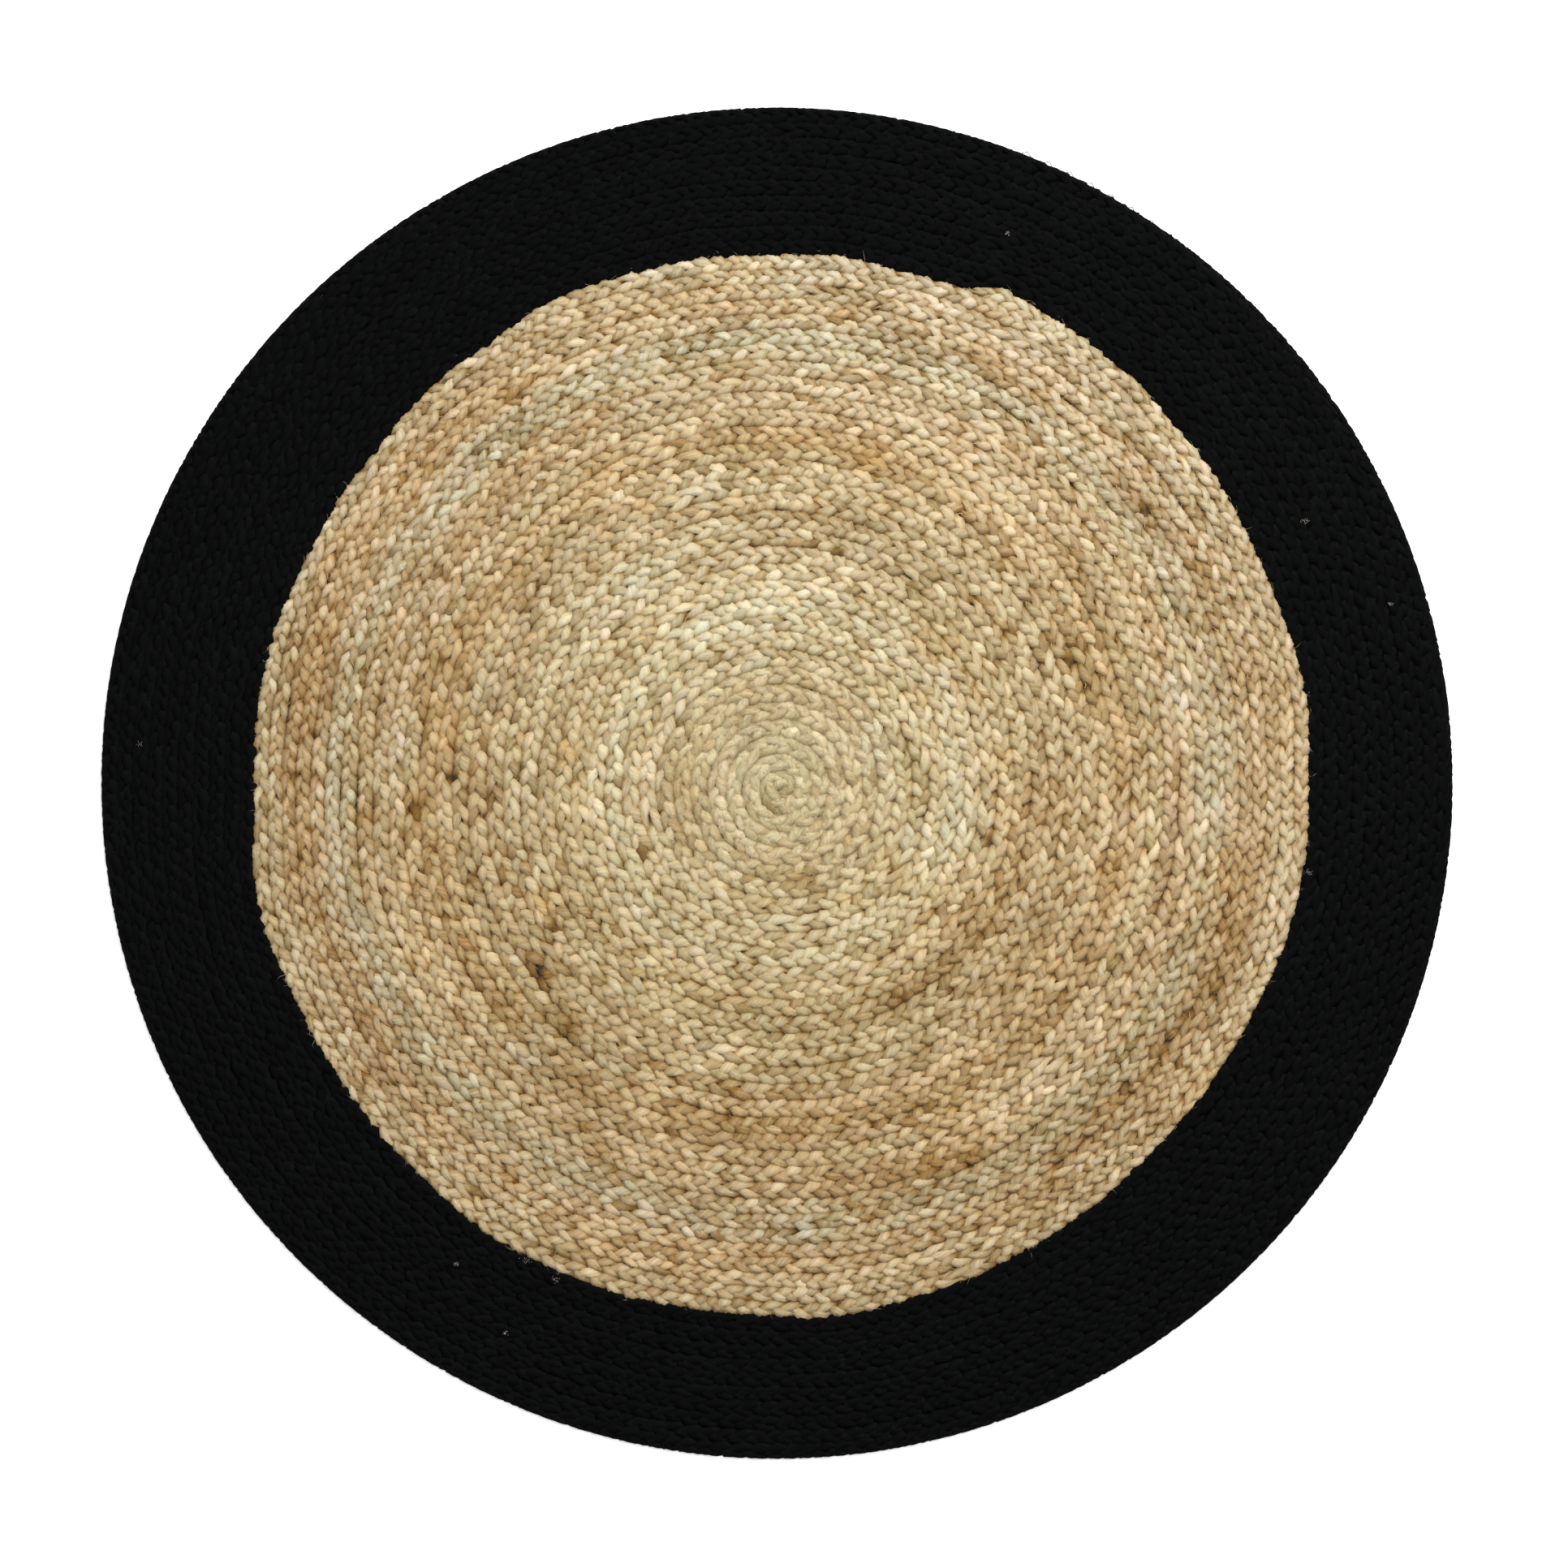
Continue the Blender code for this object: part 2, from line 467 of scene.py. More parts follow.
@dataclass(frozen=True)
class Fleck:
    """Short stretches of a strand where something shows, at the peaks of a random change."""

    spacing: float          # metres from one of its independent values to the next
    series: int             # which random series it is, counted from a seed
    level: float            # a peak shows above this
    most: float             # and no higher than this over it

    def along(self, places: np.ndarray, seed: int) -> np.ndarray:
        """How far it shows at places along the strand."""
        peaks = smooth_random(places, self.spacing, seed + self.series) - self.level
        return np.clip(peaks, 0.0, self.most)


def matted(reach: np.ndarray) -> np.ndarray:
    """How far the fibres have matted over the stitches, from 0 to 1, at a distance from the middle."""
    return np.clip((MATTED_EDGE - reach) / MATTED_FADE, 0.0, 1.0)


def unit(vectors: np.ndarray) -> np.ndarray:
    """Give each row of an array a length of 1."""
    return vectors / np.linalg.norm(vectors, axis=1, keepdims=True)


def length_along(points: np.ndarray) -> np.ndarray:
    """Length from the first of a row of points to each of them."""
    return np.concatenate(([0.0], np.cumsum(np.linalg.norm(np.diff(points, axis=0), axis=1))))


def hold_inside(points: np.ndarray, limit: np.ndarray | float) -> None:
    """Pull points straight in where they lie further out than a limit.

    Args:
        points: The points, which are changed. Their last axis is xyz.
        limit: How far out each may lie.
    """
    far = np.linalg.norm(points[..., :2], axis=-1)
    points[..., :2] *= np.minimum(limit / np.maximum(far, NEAR_MIDDLE), 1.0)[..., None]


def three_sided(side: np.ndarray, top: np.ndarray) -> np.ndarray:
    """Corners of a three-sided section, as offsets for a radius of 1.

    Args:
        side: Unit vector across each fibre.
        top: Unit vector across it, square to side.

    Returns:
        An array of fibre, corner and xyz.
    """
    turn = np.arange(3) * FULL_TURN / 3.0
    return np.cos(turn)[None, :, None] * side[:, None, :] + np.sin(turn)[None, :, None] * top[:, None, :]


def tube_faces(count: int, sides: int) -> tuple[np.ndarray, np.ndarray, np.ndarray]:
    """Faces of a tube that joins rings of points.

    Args:
        count: How many rings it has.
        sides: How many points to a ring.

    Returns:
        The faces, then the ring and the side that each of them starts from.
    """
    ring, side = (grid.ravel() for grid in np.meshgrid(np.arange(count - 1), np.arange(sides), indexing="ij"))
    here, ahead, after = ring * sides, (ring + 1) * sides, (side + 1) % sides
    return np.stack((here + side, here + after, ahead + after, ahead + side), axis=1), ring, side


def tube_map(left: np.ndarray, right: np.ndarray, low: np.ndarray, high: np.ndarray) -> np.ndarray:
    """Places on the bake map of the corners of a tube's faces, from the sides of each face's cell."""
    return np.stack((left, low, left, high, right, high, right, low), axis=1).reshape(-1, 2)


def new_mesh(name: str, points: np.ndarray, corners: Sequence[np.ndarray]) -> bpy.types.Object:
    """Make an object from arrays of faces.

    Args:
        name: The object's name.
        points: One row for each point.
        corners: Arrays of faces, each with one row of point numbers for each face.

    Returns:
        The new object, smooth shaded and linked to the scene.
    """
    mesh = bpy.data.meshes.new(name)
    sizes = np.concatenate([np.full(len(faces), faces.shape[1]) for faces in corners])
    flat = np.concatenate([faces.ravel() for faces in corners])
    starts = np.concatenate(([0], np.cumsum(sizes)[:-1]))
    mesh.vertices.add(len(points))
    mesh.vertices.foreach_set("co", points.astype(np.float32).ravel())
    mesh.loops.add(len(flat))
    mesh.loops.foreach_set("vertex_index", flat.astype(np.int32))
    mesh.polygons.add(len(sizes))
    mesh.polygons.foreach_set("loop_start", starts.astype(np.int32))
    mesh.update(calc_edges=True)
    mesh.shade_smooth()
    made = bpy.data.objects.new(name, mesh)
    bpy.context.scene.collection.objects.link(made)
    return made


def unfold(piece: bpy.types.Object, places: np.ndarray) -> None:
    """Give a piece the map on which its material is baked, one row for each corner of each face."""
    layer = piece.data.uv_layers.new(name=BAKE_MAP)
    layer.data.foreach_set("uv", places.astype(np.float32).ravel())


def store(piece: bpy.types.Object, name: str, kind: str, values: np.ndarray) -> None:
    """Keep a value or vector at each point of a piece, for its material.

    Args:
        piece: The piece.
        name: The attribute's name.
        kind: FLOAT or FLOAT_VECTOR.
        values: One row for each point.
    """
    layer = piece.data.attributes.new(name, kind, "POINT")
    key = "value" if kind == "FLOAT" else "vector"
    layer.data.foreach_set(key, values.astype(np.float32).ravel())


# ---------------------------------------------------------------------------------------------------
# Coils


class Dye(Enum):
    """The two braids, with the solid of each and the name that its pieces are given."""

    NATURAL = ("centre_braid", "natural_jute")
    BLACK = ("border_braid", "black_jute")

    @property
    def node(self) -> str:
        """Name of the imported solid."""
        return self.value[0]

    @property
    def slot(self) -> str:
        """Name that starts the names of the braid's pieces."""
        return self.value[1]


def dress(piece: bpy.types.Object, material: bpy.types.Material) -> None:
    """Give a piece its material and let it ride on the rug."""
    piece.data.materials.append(material)
    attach(piece, "root")


@dataclass
class NaturalCoil:
    """Route of the natural braid, as sweeps round the middle from where its tail has run out."""

    turns: int = 32
    edge: float = NATURAL_EDGE
    tight_row: float = (RUG_EDGE - NATURAL_EDGE - SEAM_GAP) / BLACK_TURNS
    wide_turns: int = 20            # rows are wide as far as this turn
    tight_turns: int = 28           # and from this one on as tight as the black ones
    tail_angle: float = math.radians(70.0)
    tail_taper: float = math.radians(4.5)
    start_shift: tuple[float, float] = (0.0041, -0.0051)    # of the first row from the rug's middle
    first_sweep: float = -1.2 * math.pi
    wander_power: int = 3           # how fast the edge's wander dies out towards the middle
    wander: tuple[tuple[float, float], ...] = (
        # angle_deg, offset_mm
        (0.0, -5.6),
        (10.0, -3.8),
        (25.0, -7.4),
        (40.0, -6.6),
        (50.0, -3.0),
        (60.0, 0.0),
        (70.0, 0.0),
        (85.0, 1.2),
        (112.0, 0.9),
        (126.0, -4.8),
        (145.0, -7.6),
        (162.0, -5.8),
        (179.0, -9.6),
        (195.0, 0.3),
        (206.0, -6.2),
        (225.0, -3.4),
        (241.0, 1.0),
        (258.0, -2.0),
        (270.0, -4.0),
        (276.0, -0.6),
        (290.0, -5.2),
        (314.0, -9.6),
        (332.0, -8.6),
        (350.0, -4.0),
    )

    @property
    def last_sweep(self) -> float:
        """Sweep at which the tail has run out."""
        return FULL_TURN * self.turns

    def edge_wander(self, angle: np.ndarray) -> np.ndarray:
        """Offset of the hand-laid edge from its spiral, in metres."""
        table = np.array(self.wander + ((360.0, self.wander[0][1]),))
        degrees = np.degrees(angle) % 360.0
        row = np.clip(np.searchsorted(table[:, 0], degrees, side="right") - 1, 0, len(table) - 2)
        start, end = table[row], table[row + 1]
        part = (degrees - start[:, 0]) / (end[:, 0] - start[:, 0])
        ease = 0.5 - 0.5 * np.cos(math.pi * part)
        return MILLIMETRE * (start[:, 1] + (end[:, 1] - start[:, 1]) * ease)

    def radius(self, turns: np.ndarray, angle: np.ndarray) -> np.ndarray:
        """Radius after so many turns.

        Args:
            turns: Turns from the start of the coil.
            angle: Angle from +X, for the wander of the edge.

        Returns:
            The radius in metres.
        """
        slack = 0.5 * (self.wide_turns + self.tight_turns)
        wide_row = (self.edge - self.tight_row * (self.turns - slack)) / slack
        span = self.tight_turns - self.wide_turns
        narrowing = np.clip(turns - self.wide_turns, 0.0, span)
        tight = np.maximum(turns - self.tight_turns, 0.0)
        lost = (wide_row - self.tight_row) * (0.5 * narrowing**2 / span + tight)
        plain = wide_row * turns - lost
        return plain + self.edge_wander(angle) * (plain / self.edge) ** self.wander_power

    def sides(self, sweep: np.ndarray) -> tuple[np.ndarray, np.ndarray, np.ndarray]:
        """The row's inner and outer radius and its angle, at each sweep."""
        angle = self.tail_angle + sweep
        turns = sweep / FULL_TURN
        share = np.clip((self.last_sweep - sweep) / self.tail_taper, 0.0, 1.0)
        return self.radius(np.maximum(turns, 0.0), angle), self.radius(turns + share, angle), angle

    def shift(self, radius: np.ndarray) -> np.ndarray:
        """How far the rows at a radius lie from the rug's own middle."""
        share = np.maximum(1.0 - radius / self.edge, 0.0)
        return share[:, None] * np.array(self.start_shift)


@dataclass
class BlackCoil:
    """Route of the black braid, from the nook behind the natural tail to the round outer edge."""

    inside: NaturalCoil
    turns: int = BLACK_TURNS
    edge: float = RUG_EDGE
    gap: float = SEAM_GAP
    end_taper: float = math.radians(60.0)
    overlap: float = 0.97           # of the natural tail's taper, where the black row is behind it

    @property
    def first_sweep(self) -> float:
        """The braid starts where the natural tail begins to thin out."""
        return -self.overlap * self.inside.tail_taper

    @property
    def last_sweep(self) -> float:
        """Sweep at which the black tail has run out."""
        return FULL_TURN * self.turns

    def sides(self, sweep: np.ndarray) -> tuple[np.ndarray, np.ndarray, np.ndarray]:
        """The row's inner and outer radius and its angle, at each sweep."""
        coil = self.inside
        angle = coil.tail_angle + sweep
        row = np.clip(np.floor(sweep / FULL_TURN), -1, self.turns - 1)
        part = sweep - FULL_TURN * row
        nook = coil.radius(coil.turns + part / FULL_TURN, angle) + self.gap
        share = np.clip((FULL_TURN - part) / self.end_taper, 0.0, 1.0)
        pitch = (self.edge - nook) / (self.turns - 1 + share)
        outer_share = np.where(row == self.turns - 1, share, 1.0)
        inner = nook + pitch * np.maximum(row, 0.0)
        outer = nook + pitch * (row + outer_share)
        thinned = 1.0 - np.clip((FULL_TURN - part) / coil.tail_taper, 0.0, 1.0)
        start = coil.radius(coil.turns - thinned + part / FULL_TURN, angle) + self.gap
        return np.where(row < 0, start, inner), np.where(row < 0, nook, outer), angle

    def shift(self, radius: np.ndarray) -> np.ndarray:
        """The black rows lie round the rug's own middle."""
        return np.zeros((len(radius), 2))


@dataclass(frozen=True)
class Wander:
    """How far rows laid by hand stray sideways together, as a sum of waves over the rug."""

    waves: int = 14
    size: float = 0.00045                       # metres for a wave of strength 1
    strength: tuple[float, float] = (0.5, 1.0)
    around: tuple[int, int] = (3, 26)           # waves in a turn, the second number not included
    across: float = 60.0                        # most radians in a metre out from the middle
    grown: float = 0.08                         # radius at which the straying is in full
    gone: float = 0.565                         # radius at which it has faded out again
    fade: float = 0.05                          # width over which it fades out
    seed: int = 77

    def shift(self, points: np.ndarray) -> np.ndarray:
        """Shift of the rows at each place.

        Args:
            points: Places on the rug, one xy row each.

        Returns:
            One xy shift for each place, in metres.
        """
        reach = np.linalg.norm(points, axis=1)
        angle = np.arctan2(points[:, 1], points[:, 0])
        draw = np.random.default_rng(self.seed)
        stray = np.zeros(len(points))
        for _ in range(self.waves):
            around, across = draw.integers(*self.around), draw.uniform(-self.across, self.across)
            strength, start = draw.uniform(*self.strength), draw.uniform(0.0, FULL_TURN)
            stray += strength * np.cos(around * angle + across * reach + start)
        share = np.clip(reach / self.grown, 0.0, 1.0) * np.clip((self.gone - reach) / self.fade, 0.0, 1.0)
        return points / np.maximum(reach, NEAR_MIDDLE)[:, None] * (stray * share * self.size)[:, None]


HAND_WANDER = Wander()


# ---------------------------------------------------------------------------------------------------
# Yarn


@dataclass(frozen=True)
class Patch:
    """A stretch of several rows where the yarn is darker, paler or warmer than round it."""

    angle: float            # degrees from +X
    reach: float            # millimetres from the rug's middle
    half_angle: float       # degrees
    half_width: float       # millimetres
    tone: float             # steps of lightness, as in JuteFinish.stops
    warmth: float = 0.0

    def share(self, angle: np.ndarray, reach: np.ndarray) -> np.ndarray:
        """How much of the patch shows at places given in its own degrees and millimetres."""
        turn = (angle - self.angle + 180.0) % 360.0 - 180.0
        return np.exp(-((turn / self.half_angle) ** 2) - ((reach - self.reach) / self.half_width) ** 2)


@dataclass(frozen=True)
class Speck:
    """A small dark, rusty or pale place, such as a bit of bark or a tuft of bleached fibre."""

    x: float                # millimetres from the rug's middle
    y: float
    size: float             # millimetres from its middle to where it has faded to a third
    tone: float             # steps of lightness, as in JuteFinish.stops
    warmth: float = 0.0

    def share(self, place: np.ndarray) -> np.ndarray:
        """How much of the speck shows at places on the rug, given in metres."""
        away = np.hypot(place[:, 0] / MILLIMETRE - self.x, place[:, 1] / MILLIMETRE - self.y)
        return np.exp(-((away / self.size) ** 2))


# Patches of the natural coil, listed one by one.
PATCHES = tuple(
    Patch(*row)
    for row in (
        # angle_deg, reach_mm, half_angle_deg, half_width_mm, tone, warmth
        (85, 330, 55, 240, 5, -0.5),
        (185, 400, 22, 200, -5, 0.2),
        (262, 330, 60, 260, -2.8, 0.25),
        (145, 380, 22, 120, 3.5),
        (303, 380, 18, 120, -4),
        (283, 94, 13, 9, -18, 0.6),
        (275, 81, 26, 6, -4, 0.8),
        (178, 90, 20, 9, -6, 0.8),
        (215, 72, 40, 14, -7),
        (232, 112, 12, 9, 10),
        (80, 166, 38, 13, 4.5, -0.4),
        (190, 142, 32, 15, 4.5, -0.2),
        (335, 148, 16, 12, 6),
        (310, 220, 24, 11, -30, 0.8),
        (262, 217, 11, 7, -14, 0.4),
        (235, 195, 60, 12, -4, 0.4),
        (65, 242, 42, 5, -10),
        (60, 210, 40, 6, -6),
        (130, 215, 17, 18, 9, -0.6),
        (293, 253, 24, 7, -9),
        (332, 268, 11, 14, -14),
        (85, 305, 16, 11, -13, 1.6),
        (29, 322, 11, 12, -16),
        (23, 287, 5, 13, -14),
        (112, 282, 13, 14, 5),
        (190, 250, 14, 9, -10),
        (205, 317, 50, 18, -11, 0.6),
        (218, 271, 5, 7, -36),
        (229, 288, 5, 7, -32),
        (238, 326, 8, 14, -17),
        (270, 305, 17, 18, -11, 0.3),
        (48, 330, 13, 28, 7),
        (90, 340, 28, 6, 7),
        (150, 350, 50, 5, -10),
        (308, 359, 20, 10, 16, -0.4),
        (287, 366, 11, 12, -24, 1.6),
        (97, 397, 22, 13, 5, -1),
        (318, 413, 18, 15, -22),
        (339, 431, 11, 13, -22, 0.4),
        (168, 433, 9, 22, -14, 0.4),
        (205, 415, 22, 18, -6),
        (60, 440, 38, 22, 8, -0.7),
        (140, 415, 13, 9, -9),
        (10, 452, 8, 14, -8, 0.8),
        (125, 417, 6, 8, -15, 1.2),
        (107, 452, 12, 12, -4, 1.2),
        (135, 356, 7, 10, -11, 1.4),
        (154, 301, 9, 12, -10, 1.4),
        (117, 361, 6, 9, -8, 1.3),
        (98, 247, 6, 7, -7, 1.3),
        (160, 124, 12, 9, -5, 1),
        (261, 107, 12, 7, -9, 1.2),
        (35, 242, 6, 7, -12, 1.2),
        (172, 234, 8, 9, -9, 1.2),
        (183, 322, 4, 7, -20, 1.2),
        (159, 328, 4, 10, -20, 0.8),
        (170, 287, 4, 7, -13, 1),
        (134, 426, 12, 18, -7, 1.4),
        (163, 425, 10, 16, -6, 1.2),
        (101, 440, 7, 9, -9, 1.2),
        (103, 398, 4, 5, -17, 0.2),
        (37, 408, 3, 7, -18),
        (297, 375, 6, 10, -14, 1.4),
        (343, 311, 7, 9, -10, 1.6),
        (3, 305, 10, 8, -9, 1.2),
        (198, 392, 20, 9, 6, -1.2),
        (145, 382, 14, 12, 6, -0.8),
        (163, 215, 22, 16, 4),
        (135, 235, 42, 26, 6, -0.3),
        (330, 238, 34, 18, -5, 0.3),
    )
)

# Specks that stand out on it, listed one by one.
SPECKS = tuple(
    Speck(*row)
    for row in (
        # x_mm, y_mm, size_mm, tone, warmth
        (-298, 110, 5, -100, 1),
        (-298, 185, 4, -80, 0.5),
        (-233, 342, 8, -30, 1.6),
        (-426, 9, 4, -110),
        (-289, 7, 4.5, -110),
        (-255, 76, 4, -70),
        (-132, 295, 3.5, -80),
        (-78, 387, 4.5, -80),
        (-61, 394, 3.5, -65),
        (-61, 185, 4.5, -70),
        (-21, 39, 3.5, -65),
        (54, 205, 4.5, -85),
        (32, 213, 4, -65),
        (122, 174, 4.5, -65),
        (261, 107, 5.5, -80, 1.4),
        (328, 242, 4.5, -95),
        (332, 228, 3.5, -70),
        (233, 282, 4.5, -65),
        (208, 135, 6.5, -40, 0.8),
        (269, 191, 5.5, -45),
        (-318, -21, 8, -40, 2.6),
        (-117, -61, 4.5, -100),
        (-212, -163, 5.5, -65, 1.2),
        (-209, -170, 5, -45, 0.6),
        (-184, -218, 8, -40, 1.2),
        (-192, -199, 4.5, -70),
        (-197, -128, 4.5, -70),
        (-277, -142, 10, -25, 1.5),
        (-294, -117, 4, -70),
        (-272, -88, 4.5, -60, 1),
        (-132, -381, 4.5, -70),
        (-147, -343, 4, -55, 0.8),
        (-60, -402, 4, -70),
        (-52, -403, 4, -70),
        (187, -50, 4.5, -95),
        (231, -118, 5.5, -75, 1.2),
        (191, -130, 6.5, -50, 0.6),
        (143, -113, 4.5, -80),
        (109, -190, 4.5, -85),
        (347, -228, 4.5, -95),
        (301, -246, 4, -85),
        (387, -186, 5.5, -55, 1.4),
        (343, -240, 6.5, -40, 1.8),
        (311, -269, 5.5, -55, 0.6),
        (137, -338, 9, -25, 2.6),
        (171, -335, 8, -25, 2.8),
        (230, -304, 6.5, -40, 2),
        (252, -333, 4, -65),
        (179, -392, 4.5, -65),
        (34, -392, 5.5, -45, 0.8),
        (397, -130, 5.5, -40, 1.6),
        (27, -88, 9, -20, 1.6),
        (-9, -284, 5, 45, -1),
        (83, 210, 6.5, 25, -1.4),
        (-125, 172, 9, 20, -1),
    )
)


@dataclass(frozen=True)
class SmallPatches:
    """Patches a stitch or two across at random places, with some smaller ones that are stained rusty."""

    count: int = 0
    furthest: float = 470.0                         # millimetres from the rug's middle
    area: tuple[float, float] = (0.02, 1.0)         # shares of the area out to there that hold them
    half_width: tuple[float, float] = (9.0, 20.0)   # millimetres
    stretch: tuple[float, float] = (0.8, 1.8)       # length over width
    tone: float = 5.5
    warmth: float = 0.9
    cooling: float = 0.05                           # warmth that goes with a step darker
    rusty: int = 3                                  # one in so many is rusty
    rusty_size: float = 0.45                        # against the others
    rusty_tone: tuple[float, float] = (-16.0, -5.0)
    rusty_warmth: tuple[float, float] = (1.0, 2.6)
    seed: int = 51

    def scatter(self) -> list[Patch]:
        """Draw them, the same ones each time."""
        draw = np.random.default_rng(self.seed)
        found = []
        for number in range(self.count):
            reach = self.furthest * math.sqrt(draw.uniform(*self.area))
            half = draw.uniform(*self.half_width)
            tone, warmth = draw.normal(0.0, self.tone), draw.normal(0.0, self.warmth)
            warmth -= self.cooling * tone
            if number % self.rusty == 0:
                half *= self.rusty_size
                tone, warmth = draw.uniform(*self.rusty_tone), draw.uniform(*self.rusty_warmth)
            half_angle = math.degrees(half * draw.uniform(*self.stretch) / reach)
            found.append(Patch(draw.uniform(0.0, 360.0), reach, half_angle, half, tone, warmth))
        return found


@dataclass
class Yarn:
    """How the tone and hue of one braid's yarn change along its length and across the rug.

    Tones are steps of lightness. Warmth and rose are how much is taken of JuteFinish's warm and rose.
    """

    lots: tuple[tuple[float, float, float, float], ...]
    patches: tuple[Patch, ...] = ()
    small: SmallPatches = SmallPatches()
    specks: tuple[Speck, ...] = ()
    contrast: float = 1.15                          # of the lots' and patches' tones
    lot_rose: float = 0.8                           # of the lots' rose
    blur: Sway = Sway(7.0, 0.03, 9)                 # millimetres by which a lot's edge is uneven
    stitch: Sway = Sway(11.0, 0.0125, 1)            # tone from stitch to stitch
    stitch_matted: float = 0.55                     # how much of that is lost in the matted middle
    bundle: Sway = Sway(1.0, 0.045, 2)              # from one handful of fibres to the next
    bundle_tone: float = 10.0
    bundle_warmth: float = 0.2
    bundle_patch: float = 0.35                      # how uneven it makes a patch
    length: Sway = Sway(7.0, 0.22, 3)               # tone over longer stretches
    painted_gap_shade: Fleck = Fleck(0.0125, 7, 1.36, 0.34)      # painted shade of a deep gap between two stitches, in short stretches
    painted_gap_shade_tone: float = 100.0
    bark: Fleck = Fleck(0.0072, 11, 1.44, 0.26)     # bit of bark
    bark_tone: float = 150.0
    rust: Fleck = Fleck(0.026, 10, 1.0, 0.7)        # rusty stain
    rust_tone: float = 16.0
    rust_warmth: float = 1.8
    rust_rose: float = 0.6
    short_warmth: Sway = Sway(0.15, 0.022, 4)
    long_warmth: Sway = Sway(0.3, 0.22, 5)
    short_rose: Sway = Sway(0.25, 0.03, 6)
    long_rose: Sway = Sway(0.4, 0.19, 8)
    least_warmth: float = -1.9
    least_rose: float = -1.8
    seed: int = 1

    def tint(self, along: np.ndarray, place: np.ndarray, number: int) -> dict[str, np.ndarray]:
        """Tone and hue at points along a strand.

        Args:
            along: Length along the strand.
            place: Where each point is on the rug.
            number: Which of the three strands.

        Returns:
            Arrays named tone, warm and rose.
        """
        seed = self.seed * 1000 + number * 100
        read: Callable[[Sway | Fleck], np.ndarray] = lambda change: change.along(along, seed)
        distance = np.linalg.norm(place[:, :2], axis=1)
        bundle, rust = read(self.bundle), read(self.rust)
        tone = read(self.stitch) * (1.0 - self.stitch_matted * matted(distance)) + self.bundle_tone * bundle
        tone += read(self.length)
        # painted shade: short stretches darkened as if deep gaps lay between the stitches there
        tone -= self.painted_gap_shade_tone * read(self.painted_gap_shade)
        tone -= self.bark_tone * read(self.bark)
        tone -= self.rust_tone * rust
        warm = self.bundle_warmth * bundle + read(self.short_warmth) + read(self.long_warmth)
        warm += self.rust_warmth * rust
        rose = read(self.short_rose) + read(self.long_rose) + self.rust_rose * rust

        angle, reach = np.degrees(np.arctan2(place[:, 1], place[:, 0])), distance / MILLIMETRE
        lots, blurred = np.array(self.lots), reach + read(self.blur)
        tone += self.contrast * np.interp(blurred, lots[:, 0], lots[:, 1])
        warm += np.interp(blurred, lots[:, 0], lots[:, 2])
        rose += self.lot_rose * np.interp(blurred, lots[:, 0], lots[:, 3])
        uneven = 1.0 + self.bundle_patch * bundle
        for patch in (*self.patches, *self.small.scatter()):
            share = patch.share(angle, reach)
            tone += self.contrast * patch.tone * share * uneven
            warm += patch.warmth * share
        for speck in self.specks:
            share = speck.share(place)
            tone += speck.tone * share
            warm += speck.warmth * share
        warm, rose = np.maximum(warm, self.least_warmth), np.maximum(rose, self.least_rose)
        return {"tone": tone / TONE_STEPS, "warm": warm, "rose": rose}


NATURAL_YARN = Yarn(
    lots=(
        # reach_mm, tone, warmth, rose
        (0.0, 16.5, 0.4, -2.1),
        (25.0, 11.5, -0.15, -1.9),
        (43.0, 4.0, -0.15, -1.6),
        (65.0, 8.5, 0.2, -1.0),
        (79.0, 4.0, 0.8, -0.2),
        (100.0, 5.5, 0.1, -0.8),
        (118.0, 4.0, -0.4, -0.9),
        (135.0, -0.5, -0.2, -0.8),
        (152.0, 13.5, -0.8, -0.7),
        (170.0, 11.0, -0.5, -0.4),
        (188.0, 4.5, 0.5, -0.1),
        (200.0, 3.0, 0.2, -0.4),
        (215.0, -5.5, 0.1, -0.7),
        (250.0, -3.5, 0.2, 0.0),
        (282.0, -5.0, 0.4, -0.1),
        (300.0, -8.0, 1.1, 0.2),
        (322.0, -6.5, 0.9, 0.3),
        (338.0, 3.5, 0.1, 0.2),
        (355.0, -5.5, 0.4, 0.7),
        (372.0, -3.0, 0.3, 0.5),
        (386.0, -2.5, -1.6, -0.5),
        (399.0, 1.0, -1.5, 0.3),
        (413.0, -5.0, 0.4, 1.0),
        (428.0, -0.5, 0.5, 0.8),
        (443.0, 2.5, -0.3, 0.6),
        (480.0, -1.5, -0.7, 0.3),
    ),
    patches=PATCHES,
    small=SmallPatches(count=260),
    specks=SPECKS,
)
BLACK_YARN = Yarn(lots=((0.0, 0.0, 0.0, 0.0),), seed=2)


# ---------------------------------------------------------------------------------------------------
# Braids


@dataclass
class Strand:
    """Rings of points round one strand, and what is known at each ring."""

    points: np.ndarray      # ring, place round it, xyz
    centre: np.ndarray
    ahead: np.ndarray       # unit vector along the strand
    up: np.ndarray          # unit vector out of its thin side
    along: np.ndarray       # length along the row
    row: np.ndarray         # turns made by the coil
    turn: np.ndarray        # angle of each point round the ring
    felted: np.ndarray      # 1 where the fibres have matted over the stitches


